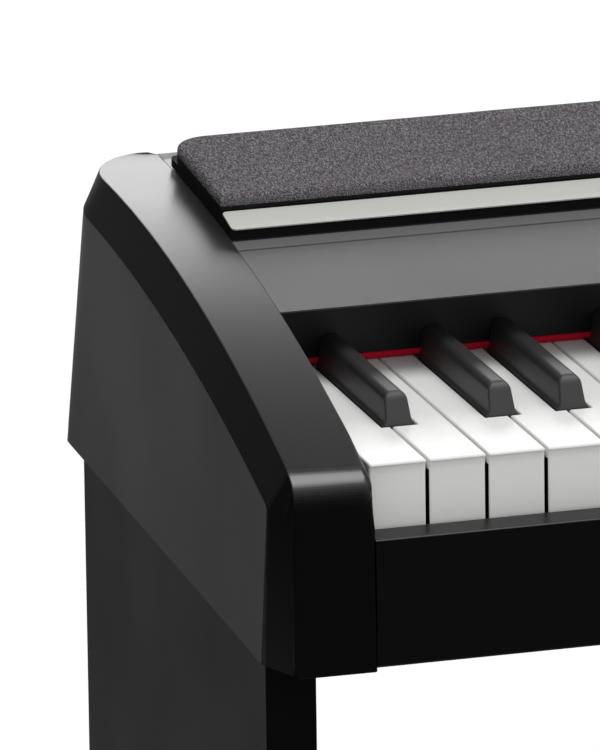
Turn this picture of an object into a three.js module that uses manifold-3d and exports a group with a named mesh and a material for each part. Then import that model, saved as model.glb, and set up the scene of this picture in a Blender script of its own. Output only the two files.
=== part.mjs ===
// Digital piano on a wooden stand, in millimetres, +Z up.
// The origin is on the floor, under the middle of the whole instrument. +X runs to the treble end and
// +Y away from the player. Everything above the stand is built in the keyboard's own frame, where y = 0
// is the front edge of the white keys and z = 0 is their playing surface.

import * as THREE from 'three';
import { mergeVertices } from 'three/addons/utils/BufferGeometryUtils.js';
import Module from 'manifold-3d';

const wasm = await Module();
wasm.setup();

// ---------------------------------------------------------------- driving dimensions

const CLEARANCE = 0.3;              // between pieces that are fitted together

// keyboard
const KEY_PITCH = 23.5;             // one white key to the next
const KEY_GAP = 1;                  // between white keys
const KEY_COUNT = 88;
const FIRST_NOTE_INDEX = 9;        // the lowest key is an A
const SINGLE_KEYS = 12;             // keys with a node each; the rest are joined by the octave
const KEY_DEPTH = 16;               // body of a white key
const KEY_FRONT_DEPTH = 27;         // front apron of a white key
const KEY_APRON_LENGTH = 18;
const KEY_EDGE = 0.8;
const KEY_VISIBLE_LENGTH = 138;     // from the front edge back to the felt
const KEY_LENGTH = 205;
const KEY_NOTCH_Y = 46.9;           // where a white key narrows to pass the black keys
const BLACK_FRONT_Y = 47.6;
const BLACK_SLOPE = 4.6;            // how far the front of a black key leans back
const BLACK_WIDTH = 12.4;
const BLACK_TOP_WIDTH = 9.4;
const BLACK_EDGE = 1;
const BLACK_HEIGHT = 12;
const BLACK_DEPTH = 11;             // body of a black key below the white surface
const BLACK_FOOT_GAP = 7;           // from the tails of the white keys to the feet of the black ones
const BLACK_SIDE_GAP = 0.9;
const BLACK_TAIL_DROP = 1;          // tail of a black key below the white surface
const KEY_FOOT_LENGTH = 10;         // foot at the tail, which rocks on the balance rail
const KEY_FOOT_BOTTOM = -26.4;
const WHITE_FOOT_INSET = 3;
const KEY_STOP_GAP = 0.8;           // between a fully pressed key and its felt
const WHITE_DIP_DEG = 2.9;
const PIVOT_Z = -8;

// body
const KEY_TOP_HEIGHT = 720;         // playing surface above the floor
const CHEEK_GAP = 0.8;              // between the outer keys and the end blocks
const FRONT_Y = -12;                // front face of the body
const REAR_Y = 284;
const CREST_Y = 268;                // where the long arc of the top levels out
const CREST_Z = 51.4;
const TOP_RADIUS = 730;
const NOSE_RADIUS = 9;
const UNDERSIDE_FRONT_Z = -78.1;
const UNDERSIDE_SLOPE = 0.0465;
const BOARD_THICKNESS = 12;
const WALL = 3;

// end blocks
const BLOCK_TOP_WIDTH = 31.7;
const BLOCK_BEVEL = 8.5;
const BLOCK_INNER_EDGE = 1;
const BEVEL_DROP = 12.5;
const BEVEL_BULGE = 2.2;
const BLOCK_TILT = 4.8;             // inner edge of the top below its outer edge
const TILT_GROWTH = 30;
const TILT_FADE_Y = 150;
const TILT_FADE_LENGTH = 120;
const SIDE_FACE_FRONT_Y = -3.8;
const SIDE_FACE_FRONT_Z = -14.6;
const SIDE_FRONT_SLOPE = 0.163;
const SIDE_FACE_REAR_Y = 241.3;
const SIDE_FACE_REAR_Z = 38.4;
const SIDE_REAR_SLOPE = 0.367;
const CORNER_RATIO = 0.78;          // width of the rear corner's curve over its length
const TOP_CORNER_Y = 249;
const TOP_CORNER_WIDTH = 26.5;

// front rail
const RAIL_LEDGE_Z = -25;
const RAIL_LEDGE_DROP = 1.2;
const RAIL_KEY_GAP = 1.5;
const RAIL_BOTTOM_INSET = 1.5;

// panel, fallboard and felt
const PANEL_FRONT_Y = 113;
const PANEL_SEAM_Y = 169;
const PANEL_SEAM = 0.6;
const PANEL_THICKNESS = 3;
const PANEL_LIP = 1;
const PANEL_UNDERCUT = 4;
const FELT_HEIGHT = 2.4;
const FELT_KEY_GAP = 0.5;

// speaker bar
const BAR_FRONT_Y = 179;
const BAR_REAR_Y = 267;
const TRIM_FRONT_Y = 178.2;
const TRIM_FRONT_Z = 46.1;
const TRIM_REAR_Y = 192.6;
const TRIM_REAR_Z = 49.5;
const TRIM_THICKNESS = 1;
const CLOTH_FRONT_Y = 193.5;
const BAFFLE_Z = 49.8;
const BAFFLE_SLOPE = 0.055;
const CLOTH_TOP_Z = 54.9;
const CLOTH_TOP_SLOPE = 0.088;
const CLOTH_ROUND = 3.5;
const BAR_CORNER_RADIUS = 4;
const CLOTH_CORNER_RADIUS = 14;
const SPEAKER_X = 430;
const SPEAKER_Y = 228;
const SPEAKER_RADIUS = 33;
const SPEAKER_DEPTH = 30;
const SPEAKER_WINDOW = 120;

// controls
const CONTROL_Y = 154;
const BUTTON_COUNT = 6;
const BUTTON_SPACING = 30;
const BUTTON_WIDTH = 15;
const BUTTON_LENGTH = 7;
const BUTTON_RISE = 1.6;
const BUTTON_GAP = 0.4;
const BUTTON_FLANGE = 1.2;
const BUTTON_ROW_X = -75;
const KNOB_X = -330;
const KNOB_RADIUS = 9;
const KNOB_HEIGHT = 12;
const SHAFT_RADIUS = 3;
const POWER_X = 560;
const POWER_RADIUS = 5;

// main circuit board
const CIRCUIT_X = -230;
const CIRCUIT_Z = -43;
const CIRCUIT_WIDTH = 260;
const CIRCUIT_SHEET = 1.6;
const CIRCUIT_GAP = 8;                // to the chassis in front of it and the panel behind it
const POST_RADIUS = 3;
const POST_INSET = 5;
const CHIP_HEIGHT = 3;
const CONVERTER_HEIGHT = 12;
const CAPACITOR_HEIGHT = 18;

// rear sockets
const JACK_PLATE_X = -300;
const JACK_PLATE_Z = -10;
const JACK_PLATE_WIDTH = 150;
const JACK_PLATE_HEIGHT = 30;
const JACK_FLANGE = 4;
const JACK_RADIUS = 3.3;
const JACK_SPACING = 30;
const SOCKET_BODY = 16;
const INLET_RADIUS = 4.5;
const INLET_PIN_RADIUS = 1;

// headphone box
const PHONES_X = -365;
const PHONES_WIDTH = 60;
const PHONES_HEIGHT = 22;
const PHONES_FRONT_Y = 4;
const PHONES_LENGTH = 50;
const PHONES_SPACING = 28;
const PHONES_DEPTH = 32;

// stand
const LEG_THICKNESS = 20;
const LEG_INSET = 5;                // outer face of a leg inside the side face of the body
const LEG_FRONT_Y = 18;
const LEG_REAR_Y = 274;
const FOOT_WIDTH = 44;
const FOOT_HEIGHT = 38;
const FOOT_TOE_HEIGHT = 20;
const FOOT_FRONT_Y = -52;
const FOOT_REAR_Y = 308;
const BACK_BOARD_THICKNESS = 16;
const BACK_BOARD_HEIGHT = 240;
const BACK_BOARD_TOP = 510;         // above the floor
const BACK_BOARD_REAR_Y = 262;
const BRACKET_SHEET = 2.5;
const BRACKET_FRONT_Y = 120;
const BRACKET_REAR_Y = 225;
const BRACKET_DROP = 40;
const BRACKET_REACH = 70;
const SCREW_RADIUS = 9;
const SCREW_HEAD = 7;
const SCREW_INSET = 25;
const BOLT_RADIUS = 6;
const BOLT_HEAD = 4;

// ---------------------------------------------------------------- what follows from them

const isBlack = (pitchClass) => [1, 3, 6, 8, 10].includes(pitchClass);
const pitchClassOf = (key) => (key + FIRST_NOTE_INDEX) % 12;
const keyList = Array.from({ length: KEY_COUNT }, (_, key) => key);
const whiteCount = keyList.filter((key) => !isBlack(pitchClassOf(key))).length;
const whitesBefore = (key) => keyList.slice(0, key).filter((k) => !isBlack(pitchClassOf(k))).length;

const keyboardLeft = -whiteCount * KEY_PITCH / 2;
const innerHalf = whiteCount * KEY_PITCH / 2 + CHEEK_GAP;
const halfWidth = innerHalf + BLOCK_TOP_WIDTH + BLOCK_BEVEL;
const fittedHalf = innerHalf - CLEARANCE;
const footMiddleY = (FOOT_FRONT_Y + FOOT_REAR_Y) / 2;

// Black keys sit off the middle between their neighbours, more so at the ends of a group.
const BLACK_SHIFT = { 1: -0.1, 3: 0.1, 6: -0.143, 8: 0, 10: 0.143 };
const blackCentre = (key) => keyboardLeft + (whitesBefore(key) + BLACK_SHIFT[pitchClassOf(key)]) * KEY_PITCH;

// Top line of the body: one long arc that meets the round nose at the front.
const topArc = (y) => (y > CREST_Y ? CREST_Z : CREST_Z - (CREST_Y - y) ** 2 / (2 * TOP_RADIUS));
const noseY = FRONT_Y + NOSE_RADIUS;
const noseAngle = Math.atan((CREST_Y - noseY) / TOP_RADIUS);
const noseEndY = noseY - NOSE_RADIUS * Math.sin(noseAngle);
const noseZ = topArc(noseEndY) - NOSE_RADIUS * Math.cos(noseAngle);
const outerTop = (y) => (y < noseEndY
  ? noseZ + Math.sqrt(Math.max(0, NOSE_RADIUS ** 2 - (y - noseY) ** 2))
  : topArc(y));

// The top twists inwards: level at the nose and at the rear, tilted to the keys between them.
function topTilt(y) {
  const fade = y < TILT_FADE_Y ? 1 : Math.sqrt(Math.max(0, 1 - ((y - TILT_FADE_Y) / TILT_FADE_LENGTH) ** 2));
  return BLOCK_TILT * (1 - Math.exp(-(y - FRONT_Y) / TILT_GROWTH)) * fade;
}
const innerTop = (y) => outerTop(y) - topTilt(y);
const underside = (y) => UNDERSIDE_FRONT_Z + (y - FRONT_Y) * UNDERSIDE_SLOPE;
const boardTop = (y) => underside(y) + BOARD_THICKNESS;
const baffle = (y) => BAFFLE_Z + (y - CLOTH_FRONT_Y) * BAFFLE_SLOPE;
const clothTop = (y) => CLOTH_TOP_Z + (y - CLOTH_FRONT_Y) * CLOTH_TOP_SLOPE;

// ---------------------------------------------------------------- making shapes

const X_OUT = new THREE.Matrix4().makeBasis(
  new THREE.Vector3(0, 1, 0), new THREE.Vector3(0, 0, 1), new THREE.Vector3(1, 0, 0));
const Y_OUT = new THREE.Matrix4().makeBasis(
  new THREE.Vector3(1, 0, 0), new THREE.Vector3(0, 0, 1), new THREE.Vector3(0, -1, 0));

function extrusion(points, length) {
  const shape = new THREE.Shape(points.map(([u, v]) => new THREE.Vector2(u, v)));
  return new THREE.ExtrudeGeometry(shape, { depth: length, bevelEnabled: false });
}

// A (y, z) outline run from x = from to x = to.
function alongX(points, from, to) {
  return extrusion(points, to - from).applyMatrix4(X_OUT).translate(from, 0, 0);
}

// An (x, z) outline run from y = from to y = to.
function alongY(points, from, to) {
  return extrusion(points, to - from).applyMatrix4(Y_OUT).translate(0, to, 0);
}

// An (x, y) outline run from z = from to z = to.
function alongZ(points, from, to) {
  return extrusion(points, to - from).translate(0, 0, from);
}

function box(x0, x1, y0, y1, z0, z1) {
  return alongZ([[x0, y0], [x1, y0], [x1, y1], [x0, y1]], z0, z1);
}

// A round bar along +Z with its foot at (x, y, z).
function bar(radius, length, x, y, z, sides = 20) {
  return new THREE.CylinderGeometry(radius, radius, length, sides)
    .rotateX(Math.PI / 2).translate(x, y, z + length / 2);
}

// A round bar along +Y from y = from to y = to.
function barAlongY(radius, from, to, x, z, sides = 20) {
  return new THREE.CylinderGeometry(radius, radius, to - from, sides).translate(x, (from + to) / 2, z);
}

function solid(geometry) {
  const bare = geometry.clone();
  bare.deleteAttribute('normal');
  bare.deleteAttribute('uv');
  const merged = mergeVertices(bare, 1e-4);
  return new wasm.Manifold(new wasm.Mesh({
    numProp: 3,
    vertProperties: new Float32Array(merged.attributes.position.array),
    triVerts: new Uint32Array(merged.index.array),
  }));
}

const join = (...shapes) => shapes.map(solid).reduce((whole, piece) => whole.add(piece));
const cut = (whole, ...tools) => tools.reduce((rest, tool) => rest.subtract(solid(tool)), whole);

function geometryOf(manifold) {
  const mesh = manifold.getMesh();
  const geometry = new THREE.BufferGeometry();
  geometry.setAttribute('position', new THREE.BufferAttribute(mesh.vertProperties, 3));
  geometry.setIndex(new THREE.BufferAttribute(mesh.triVerts, 1));
  return geometry;
}

// A skin over rings of equal length, closed with a fan at each end.
function loft(rings) {
  const size = rings[0].length;
  const faces = [];
  for (let ring = 0; ring + 1 < rings.length; ring += 1) {
    for (let i = 0; i < size; i += 1) {
      const next = (i + 1) % size;
      const [a, b] = [ring * size + i, ring * size + next];
      const [c, d] = [b + size, a + size];
      faces.push(a, b, c, a, c, d);
    }
  }
  const last = (rings.length - 1) * size;
  for (let i = 1; i + 1 < size; i += 1) {
    faces.push(0, i + 1, i, last, last + i, last + i + 1);
  }
  const geometry = new THREE.BufferGeometry();
  geometry.setAttribute('position', new THREE.Float32BufferAttribute(rings.flat(2), 3));
  geometry.setIndex(faces);
  return geometry;
}

function insideOut(geometry) {
  const index = geometry.index.array;
  for (let i = 0; i < index.length; i += 3) {
    [index[i], index[i + 1]] = [index[i + 1], index[i]];
  }
  return geometry;
}

// ---------------------------------------------------------------- materials

function finish(hex, roughness, metalness = 0) {
  return new THREE.MeshStandardMaterial({ color: hex, roughness, metalness });
}
const MATERIAL = {
  satinBlack: finish(0x3c3c3c, 0.45),
  glossBlack: finish(0x101010, 0.2),
  panelGrey: finish(0x6f6f6f, 0.5),
  silver: finish(0xc6c6c0, 0.35, 0.8),
  cloth: finish(0x55525a, 0.95),
  felt: finish(0xa01428, 0.95),
  keyWhite: finish(0xf4f4f2, 0.25),
  keyBlack: finish(0x2c2c2c, 0.4),
  steel: finish(0x8a8c8e, 0.4, 0.9),
  board: finish(0x2a5a3a, 0.6),
  paper: finish(0x202022, 0.9),
  wood: finish(0x2b2b2b, 0.55),
};

const piano = new THREE.Group();
const body = new THREE.Group();
const stand = new THREE.Group();
body.position.set(0, -footMiddleY, KEY_TOP_HEIGHT);
stand.position.set(0, -footMiddleY, 0);
piano.add(body, stand);

function addPiece(name, shape, material, parent = body) {
  const geometry = shape.isBufferGeometry ? shape : geometryOf(shape);
  geometry.computeVertexNormals();
  const mesh = new THREE.Mesh(geometry, material);
  mesh.name = name;
  parent.add(mesh);
  return mesh;
}

// ---------------------------------------------------------------- end blocks

// How far the outer skin stands out from the inner wall, at a place on the side.
function blockReach(y, z) {
  const full = BLOCK_TOP_WIDTH + BLOCK_BEVEL;
  const frontEnd = SIDE_FACE_FRONT_Y + Math.max(0, SIDE_FACE_FRONT_Z - z) * SIDE_FRONT_SLOPE;
  if (y < frontEnd) {
    return BLOCK_TOP_WIDTH + BLOCK_BEVEL * (y - FRONT_Y) / (frontEnd - FRONT_Y);
  }
  const rearStart = SIDE_FACE_REAR_Y + (SIDE_FACE_REAR_Z - z) * SIDE_REAR_SLOPE;
  if (y > rearStart) {
    const along = Math.min(1, (y - rearStart) / (REAR_Y - rearStart));
    return full - CORNER_RATIO * (REAR_Y - rearStart) * (1 - Math.sqrt(1 - along ** 2));
  }
  return full;
}

function blockTopReach(y) {
  const along = Math.max(0, (y - TOP_CORNER_Y) / (REAR_Y - TOP_CORNER_Y));
  return BLOCK_TOP_WIDTH - TOP_CORNER_WIDTH * (1 - Math.sqrt(1 - along ** 2));
}

function blockStations() {
  const stations = [0, 0.05, 0.2, 0.5].map((part) => FRONT_Y + part * (noseEndY - FRONT_Y));
  const nose = [noseEndY, SIDE_FACE_FRONT_Y, 0, 6, 12];
  const arcSteps = 12;
  const arc = Array.from({ length: arcSteps }, (_, i) => 24 + (SIDE_FACE_REAR_Y - 24) * i / (arcSteps - 1));
  const cornerSteps = 6;
  const corner = Array.from({ length: cornerSteps + 1 }, (_, i) => (
    TOP_CORNER_Y + (REAR_Y - TOP_CORNER_Y) * Math.sin(Math.PI / 2 * i / cornerSteps)));
  return [...stations, ...nose, ...arc, ...corner];
}

function blockSection(side, y) {
  const top = outerTop(y);
  const bevelZ = top - BEVEL_DROP - BEVEL_BULGE * Math.sin(Math.PI * Math.min(1, Math.max(0, y / REAR_Y)));
  const low = underside(y);
  const inner = innerTop(y);
  const place = (reach, z) => [side * (innerHalf + reach), y, z];
  const sideSteps = 4;
  const ring = [
    place(0, low),
    place(0, inner - BLOCK_INNER_EDGE),
    place(BLOCK_INNER_EDGE, inner),
    place(blockTopReach(y), top),
  ];
  for (let i = 0; i <= sideSteps; i += 1) {
    const z = bevelZ + (low - bevelZ) * i / sideSteps;
    ring.push(place(blockReach(y, z), z));
  }
  return ring;
}

function endBlock(side) {
  const skin = loft(blockStations().map((y) => blockSection(side, y)));
  return side < 0 ? insideOut(skin) : skin;
}
addPiece('left_end_block', endBlock(-1), MATERIAL.satinBlack);
addPiece('right_end_block', endBlock(1), MATERIAL.satinBlack);

// ---------------------------------------------------------------- cabinet between the blocks

function bottomBoard() {
  const front = -RAIL_KEY_GAP + CLEARANCE;
  const rear = REAR_Y - WALL - 2 * CLEARANCE;
  return alongX([
    [front, underside(front)], [rear, underside(rear)], [rear, boardTop(rear)], [front, boardTop(front)],
  ], -fittedHalf, fittedHalf);
}
addPiece('bottom_board', bottomBoard(), MATERIAL.wood);

function frontRail() {
  const rear = -RAIL_KEY_GAP;
  const low = UNDERSIDE_FRONT_Z + RAIL_BOTTOM_INSET;
  return alongX([
    [FRONT_Y, low + 1], [FRONT_Y + 1, low], [rear, low], [rear, RAIL_LEDGE_Z],
    [FRONT_Y + 0.6, RAIL_LEDGE_Z - RAIL_LEDGE_DROP], [FRONT_Y, RAIL_LEDGE_Z - RAIL_LEDGE_DROP - 0.6],
  ], -fittedHalf, fittedHalf);
}
addPiece('front_rail', frontRail(), MATERIAL.glossBlack);

// A plate that follows the inner top line of the blocks, with its front edge cut back underneath.
function curvedPlate(from, to, thickness, lip, undercut, steps) {
  const stations = Array.from({ length: steps + 1 }, (_, i) => from + (to - from) * i / steps);
  const upper = stations.map((y) => [y, innerTop(y)]);
  const lower = stations.slice(1).reverse().map((y) => [y, innerTop(y) - thickness]);
  const front = [[from + undercut, innerTop(from + undercut) - thickness], [from, innerTop(from) - lip]];
  return alongX([...upper, ...lower, ...front], -fittedHalf, fittedHalf);
}

const panelAngle = Math.atan((innerTop(CONTROL_Y + 5) - innerTop(CONTROL_Y - 5)) / 10);
const buttonXs = Array.from({ length: BUTTON_COUNT }, (_, i) => BUTTON_ROW_X + i * BUTTON_SPACING);

// Sets a shape made around its own z = 0 on the panel's slope, at x along the row of controls.
const onPanel = (geometry, x) => geometry.rotateX(panelAngle).translate(x, CONTROL_Y, innerTop(CONTROL_Y));

function controlPanel() {
  const through = 3 * PANEL_THICKNESS;
  const halfW = BUTTON_WIDTH / 2 + BUTTON_GAP;
  const halfL = BUTTON_LENGTH / 2 + BUTTON_GAP;
  const windows = buttonXs.map((x) => onPanel(box(-halfW, halfW, -halfL, halfL, -through, through), x));
  const shaftHole = onPanel(bar(SHAFT_RADIUS + BUTTON_GAP, 2 * through, 0, 0, -through), KNOB_X);
  const powerHole = onPanel(bar(POWER_RADIUS + BUTTON_GAP, 2 * through, 0, 0, -through), POWER_X);
  const plate = curvedPlate(PANEL_FRONT_Y, PANEL_SEAM_Y, PANEL_THICKNESS, PANEL_LIP, PANEL_UNDERCUT, 7);
  return cut(solid(plate), ...windows, shaftHole, powerHole);
}
addPiece('control_panel', controlPanel(), MATERIAL.panelGrey);

const wallFront = KEY_VISIBLE_LENGTH + CLEARANCE;
const feltTop = FELT_KEY_GAP + FELT_HEIGHT;

function fallboard() {
  return alongX([
    [wallFront, feltTop + CLEARANCE], [wallFront + WALL, feltTop + CLEARANCE],
    [wallFront + WALL, innerTop(wallFront) - PANEL_THICKNESS - CLEARANCE],
    [wallFront, innerTop(wallFront) - PANEL_THICKNESS - CLEARANCE - 0.2],
  ], -fittedHalf, fittedHalf);
}
addPiece('fallboard', fallboard(), MATERIAL.glossBlack);
addPiece('name_board_felt', box(-fittedHalf, fittedHalf, KEY_VISIBLE_LENGTH, wallFront + WALL,
  FELT_KEY_GAP, feltTop), MATERIAL.felt);

function rearDeck() {
  const from = PANEL_SEAM_Y + PANEL_SEAM;
  const to = REAR_Y - CLEARANCE;
  const plate = curvedPlate(from, to, PANEL_THICKNESS, PANEL_THICKNESS - 0.5, 1, 14);
  const half = SPEAKER_WINDOW / 2;
  const reach = SPEAKER_RADIUS + 2;
  const windows = [-SPEAKER_X, SPEAKER_X].map((x) => box(
    x - half, x + half, SPEAKER_Y - reach, SPEAKER_Y + reach, 0, 2 * CLOTH_TOP_Z));
  return cut(solid(plate), ...windows);
}
addPiece('rear_deck', rearDeck(), MATERIAL.panelGrey);

const rectangle = (x, z, width, height) => [
  [x - width / 2, z - height / 2], [x + width / 2, z - height / 2],
  [x + width / 2, z + height / 2], [x - width / 2, z + height / 2],
];

function rearPanel() {
  const from = REAR_Y - WALL - CLEARANCE;
  const to = REAR_Y - CLEARANCE;
  const low = underside(REAR_Y);
  const high = innerTop(REAR_Y) - PANEL_THICKNESS - CLEARANCE;
  const sheet = box(-fittedHalf, fittedHalf, from, to, low, high);
  const outline = rectangle(JACK_PLATE_X, JACK_PLATE_Z, JACK_PLATE_WIDTH, JACK_PLATE_HEIGHT);
  const window = alongY(outline, from - WALL, to + WALL);
  return cut(solid(sheet), window);
}
addPiece('rear_panel', rearPanel(), MATERIAL.satinBlack);

// ---------------------------------------------------------------- speaker bar

// A tall block over the bar's plan, with both rear corners round.
function barPlan(frontY, corner) {
  const plan = new THREE.Shape();
  plan.moveTo(-fittedHalf, frontY);
  plan.lineTo(fittedHalf, frontY);
  plan.lineTo(fittedHalf, BAR_REAR_Y - corner);
  plan.absarc(fittedHalf - corner, BAR_REAR_Y - corner, corner, 0, Math.PI / 2, false);
  plan.absarc(-fittedHalf + corner, BAR_REAR_Y - corner, corner, Math.PI / 2, Math.PI, false);
  const height = 2 * CLOTH_TOP_Z;
  return solid(new THREE.ExtrudeGeometry(plan, { depth: height, bevelEnabled: false, curveSegments: 8 }));
}

function speakerBar() {
  const steps = 10;
  const seat = Array.from({ length: steps + 1 }, (_, i) => (
    BAR_REAR_Y + (BAR_FRONT_Y - BAR_REAR_Y) * i / steps));
  const trimSlope = (TRIM_REAR_Z - TRIM_FRONT_Z) / (TRIM_REAR_Y - TRIM_FRONT_Y);
  const underTrim = (y) => TRIM_FRONT_Z + (y - TRIM_FRONT_Y) * trimSlope - TRIM_THICKNESS - CLEARANCE;
  const outline = [
    [BAR_FRONT_Y, underTrim(BAR_FRONT_Y)],
    [TRIM_REAR_Y + CLEARANCE, underTrim(TRIM_REAR_Y + CLEARANCE)],
    [TRIM_REAR_Y + CLEARANCE, baffle(TRIM_REAR_Y) - CLEARANCE],
    [BAR_REAR_Y, baffle(BAR_REAR_Y) - CLEARANCE],
    ...seat.map((y) => [y, innerTop(y) + CLEARANCE]),
  ];
  const plan = barPlan(BAR_FRONT_Y, BAR_CORNER_RADIUS);
  const whole = solid(alongX(outline, -fittedHalf, fittedHalf)).intersect(plan);
  const half = SPEAKER_WINDOW / 2;
  const reach = SPEAKER_RADIUS + 1;
  const recesses = [-SPEAKER_X, SPEAKER_X].map((x) => {
    const roof = baffle(SPEAKER_Y - reach) - CLEARANCE - WALL;
    const rise = 2 * reach * BAFFLE_SLOPE;
    return alongX([[SPEAKER_Y - reach, 0], [SPEAKER_Y + reach, 0], [SPEAKER_Y + reach, roof + rise],
      [SPEAKER_Y - reach, roof]], x - half, x + half);
  });
  const mouths = [-SPEAKER_X, SPEAKER_X].map((x) => (
    bar(SPEAKER_RADIUS - WALL, 2 * CLOTH_TOP_Z, x, SPEAKER_Y, 0, 32)));
  return cut(whole, ...recesses, ...mouths);
}
addPiece('speaker_bar', speakerBar(), MATERIAL.satinBlack);

function silverTrim() {
  const drop = TRIM_THICKNESS;
  return alongX([
    [TRIM_FRONT_Y, TRIM_FRONT_Z], [TRIM_FRONT_Y + 1, TRIM_FRONT_Z - drop],
    [TRIM_REAR_Y, TRIM_REAR_Z - drop], [TRIM_REAR_Y, TRIM_REAR_Z],
  ], -fittedHalf, fittedHalf);
}
addPiece('silver_trim', silverTrim(), MATERIAL.silver);

// Cloth drawn over its frame: round at the front and the rear, flat below.
function grilleCloth() {
  const quarter = (y, z, from, to) => Array.from({ length: 5 }, (_, i) => {
    const angle = from + (to - from) * i / 4;
    return [y + CLOTH_ROUND * Math.cos(angle), z + CLOTH_ROUND * Math.sin(angle)];
  });
  const frontY = CLOTH_FRONT_Y + CLOTH_ROUND;
  const rearY = BAR_REAR_Y - CLOTH_ROUND;
  const section = [
    [CLOTH_FRONT_Y, baffle(CLOTH_FRONT_Y)],
    ...quarter(frontY, clothTop(frontY) - CLOTH_ROUND, Math.PI, Math.PI / 2),
    ...quarter(rearY, clothTop(rearY) - CLOTH_ROUND, Math.PI / 2, 0),
    [BAR_REAR_Y, baffle(BAR_REAR_Y)],
  ];
  const plan = barPlan(CLOTH_FRONT_Y, CLOTH_CORNER_RADIUS);
  return solid(alongX(section, -fittedHalf, fittedHalf)).intersect(plan);
}
addPiece('grille_cloth', grilleCloth(), MATERIAL.cloth);

// One full-range speaker, face up: flange, basket, magnet and a dished cone.
function speaker() {
  const r = SPEAKER_RADIUS;
  const outline = [
    [0, -SPEAKER_DEPTH], [r * 0.6, -SPEAKER_DEPTH],
    [r * 0.6, -SPEAKER_DEPTH * 0.6], [r * 0.5, -SPEAKER_DEPTH * 0.6],
    [r - 3, -2], [r, -2], [r, 0], [r - 3, 0], [r - 5, -1],
    [r * 0.3, -SPEAKER_DEPTH * 0.4], [0, -SPEAKER_DEPTH * 0.4],
  ];
  return new THREE.LatheGeometry(outline.map(([x, y]) => new THREE.Vector2(x, y)), 24).rotateX(Math.PI / 2);
}

function addSpeaker(name, x) {
  const mesh = addPiece(name, solid(speaker()), MATERIAL.paper);
  const roof = baffle(SPEAKER_Y) - CLEARANCE - WALL;
  mesh.position.set(x, SPEAKER_Y, roof - CLEARANCE);
  mesh.rotation.x = Math.atan(BAFFLE_SLOPE);
}
addSpeaker('left_speaker', -SPEAKER_X);
addSpeaker('right_speaker', SPEAKER_X);

// ---------------------------------------------------------------- controls

function pushButton() {
  const halfW = BUTTON_WIDTH / 2;
  const halfL = BUTTON_LENGTH / 2;
  const under = -PANEL_THICKNESS - BUTTON_FLANGE - CLEARANCE;
  return join(
    box(-halfW, halfW, -halfL, halfL, under, BUTTON_RISE),
    box(-halfW - 1.5, halfW + 1.5, -halfL - 1.5, halfL + 1.5, under, under + BUTTON_FLANGE),
  );
}

function powerButton() {
  const under = -PANEL_THICKNESS - BUTTON_FLANGE - CLEARANCE;
  return join(
    bar(POWER_RADIUS, BUTTON_RISE - under, 0, 0, under, 24),
    bar(POWER_RADIUS + 1.5, BUTTON_FLANGE, 0, 0, under, 24),
  );
}

function volumeKnob() {
  const knob = join(
    new THREE.CylinderGeometry(KNOB_RADIUS * 0.88, KNOB_RADIUS, KNOB_HEIGHT, 32)
      .rotateX(Math.PI / 2).translate(0, 0, CLEARANCE + KNOB_HEIGHT / 2),
    bar(SHAFT_RADIUS, 12, 0, 0, -8),
  );
  const top = CLEARANCE + KNOB_HEIGHT;
  return cut(knob, box(-0.6, 0.6, 2, KNOB_RADIUS, top - 0.8, top + 1));
}

function addControl(name, shape, x, material) {
  const mesh = addPiece(name, shape, material);
  mesh.position.set(x, CONTROL_Y, innerTop(CONTROL_Y));
  mesh.rotation.x = panelAngle;
}
buttonXs.forEach((x, i) => addControl(`function_button_${i + 1}`, pushButton(), x, MATERIAL.satinBlack));
addControl('volume_knob', volumeKnob(), KNOB_X, MATERIAL.satinBlack);
addControl('power_button', powerButton(), POWER_X, MATERIAL.satinBlack);

// ---------------------------------------------------------------- keys

const whiteFootRear = KEY_LENGTH - WHITE_FOOT_INSET;
const whiteFootFront = whiteFootRear - KEY_FOOT_LENGTH;
const blackFootFront = KEY_LENGTH + BLACK_FOOT_GAP;
const blackLength = blackFootFront + KEY_FOOT_LENGTH;

// Left and right sides of a white key: at the front, and behind where black keys cut in.
function whiteSides(key) {
  const left = keyboardLeft + whitesBefore(key) * KEY_PITCH + KEY_GAP / 2;
  const right = left + KEY_PITCH - KEY_GAP;
  const half = BLACK_WIDTH / 2 + BLACK_SIDE_GAP;
  const cutsLeft = key > 0 && isBlack(pitchClassOf(key - 1));
  const cutsRight = key < KEY_COUNT - 1 && isBlack(pitchClassOf(key + 1));
  return {
    left,
    right,
    rearLeft: cutsLeft ? blackCentre(key - 1) + half : left,
    rearRight: cutsRight ? blackCentre(key + 1) - half : right,
  };
}

function whiteKey(key) {
  const { left, right, rearLeft, rearRight } = whiteSides(key);
  const plan = [[left, 0], [right, 0]];
  if (rearRight < right) {
    plan.push([right, KEY_NOTCH_Y], [rearRight, KEY_NOTCH_Y]);
  }
  plan.push([rearRight, KEY_LENGTH], [rearLeft, KEY_LENGTH]);
  if (rearLeft > left) {
    plan.push([rearLeft, KEY_NOTCH_Y], [left, KEY_NOTCH_Y]);
  }
  const profile = [
    [0, -KEY_EDGE], [KEY_EDGE, 0], [KEY_LENGTH, 0], [KEY_LENGTH, -KEY_DEPTH], [whiteFootRear, -KEY_DEPTH],
    [whiteFootRear, KEY_FOOT_BOTTOM], [whiteFootFront, KEY_FOOT_BOTTOM], [whiteFootFront, -KEY_DEPTH],
    [KEY_APRON_LENGTH + 2, -KEY_DEPTH], [KEY_APRON_LENGTH, -KEY_FRONT_DEPTH], [0, -KEY_FRONT_DEPTH],
  ];
  const outline = solid(alongZ(plan, KEY_FOOT_BOTTOM - 10, 10));
  return outline.intersect(solid(alongX(profile, left - 5, right + 5)));
}

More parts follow.
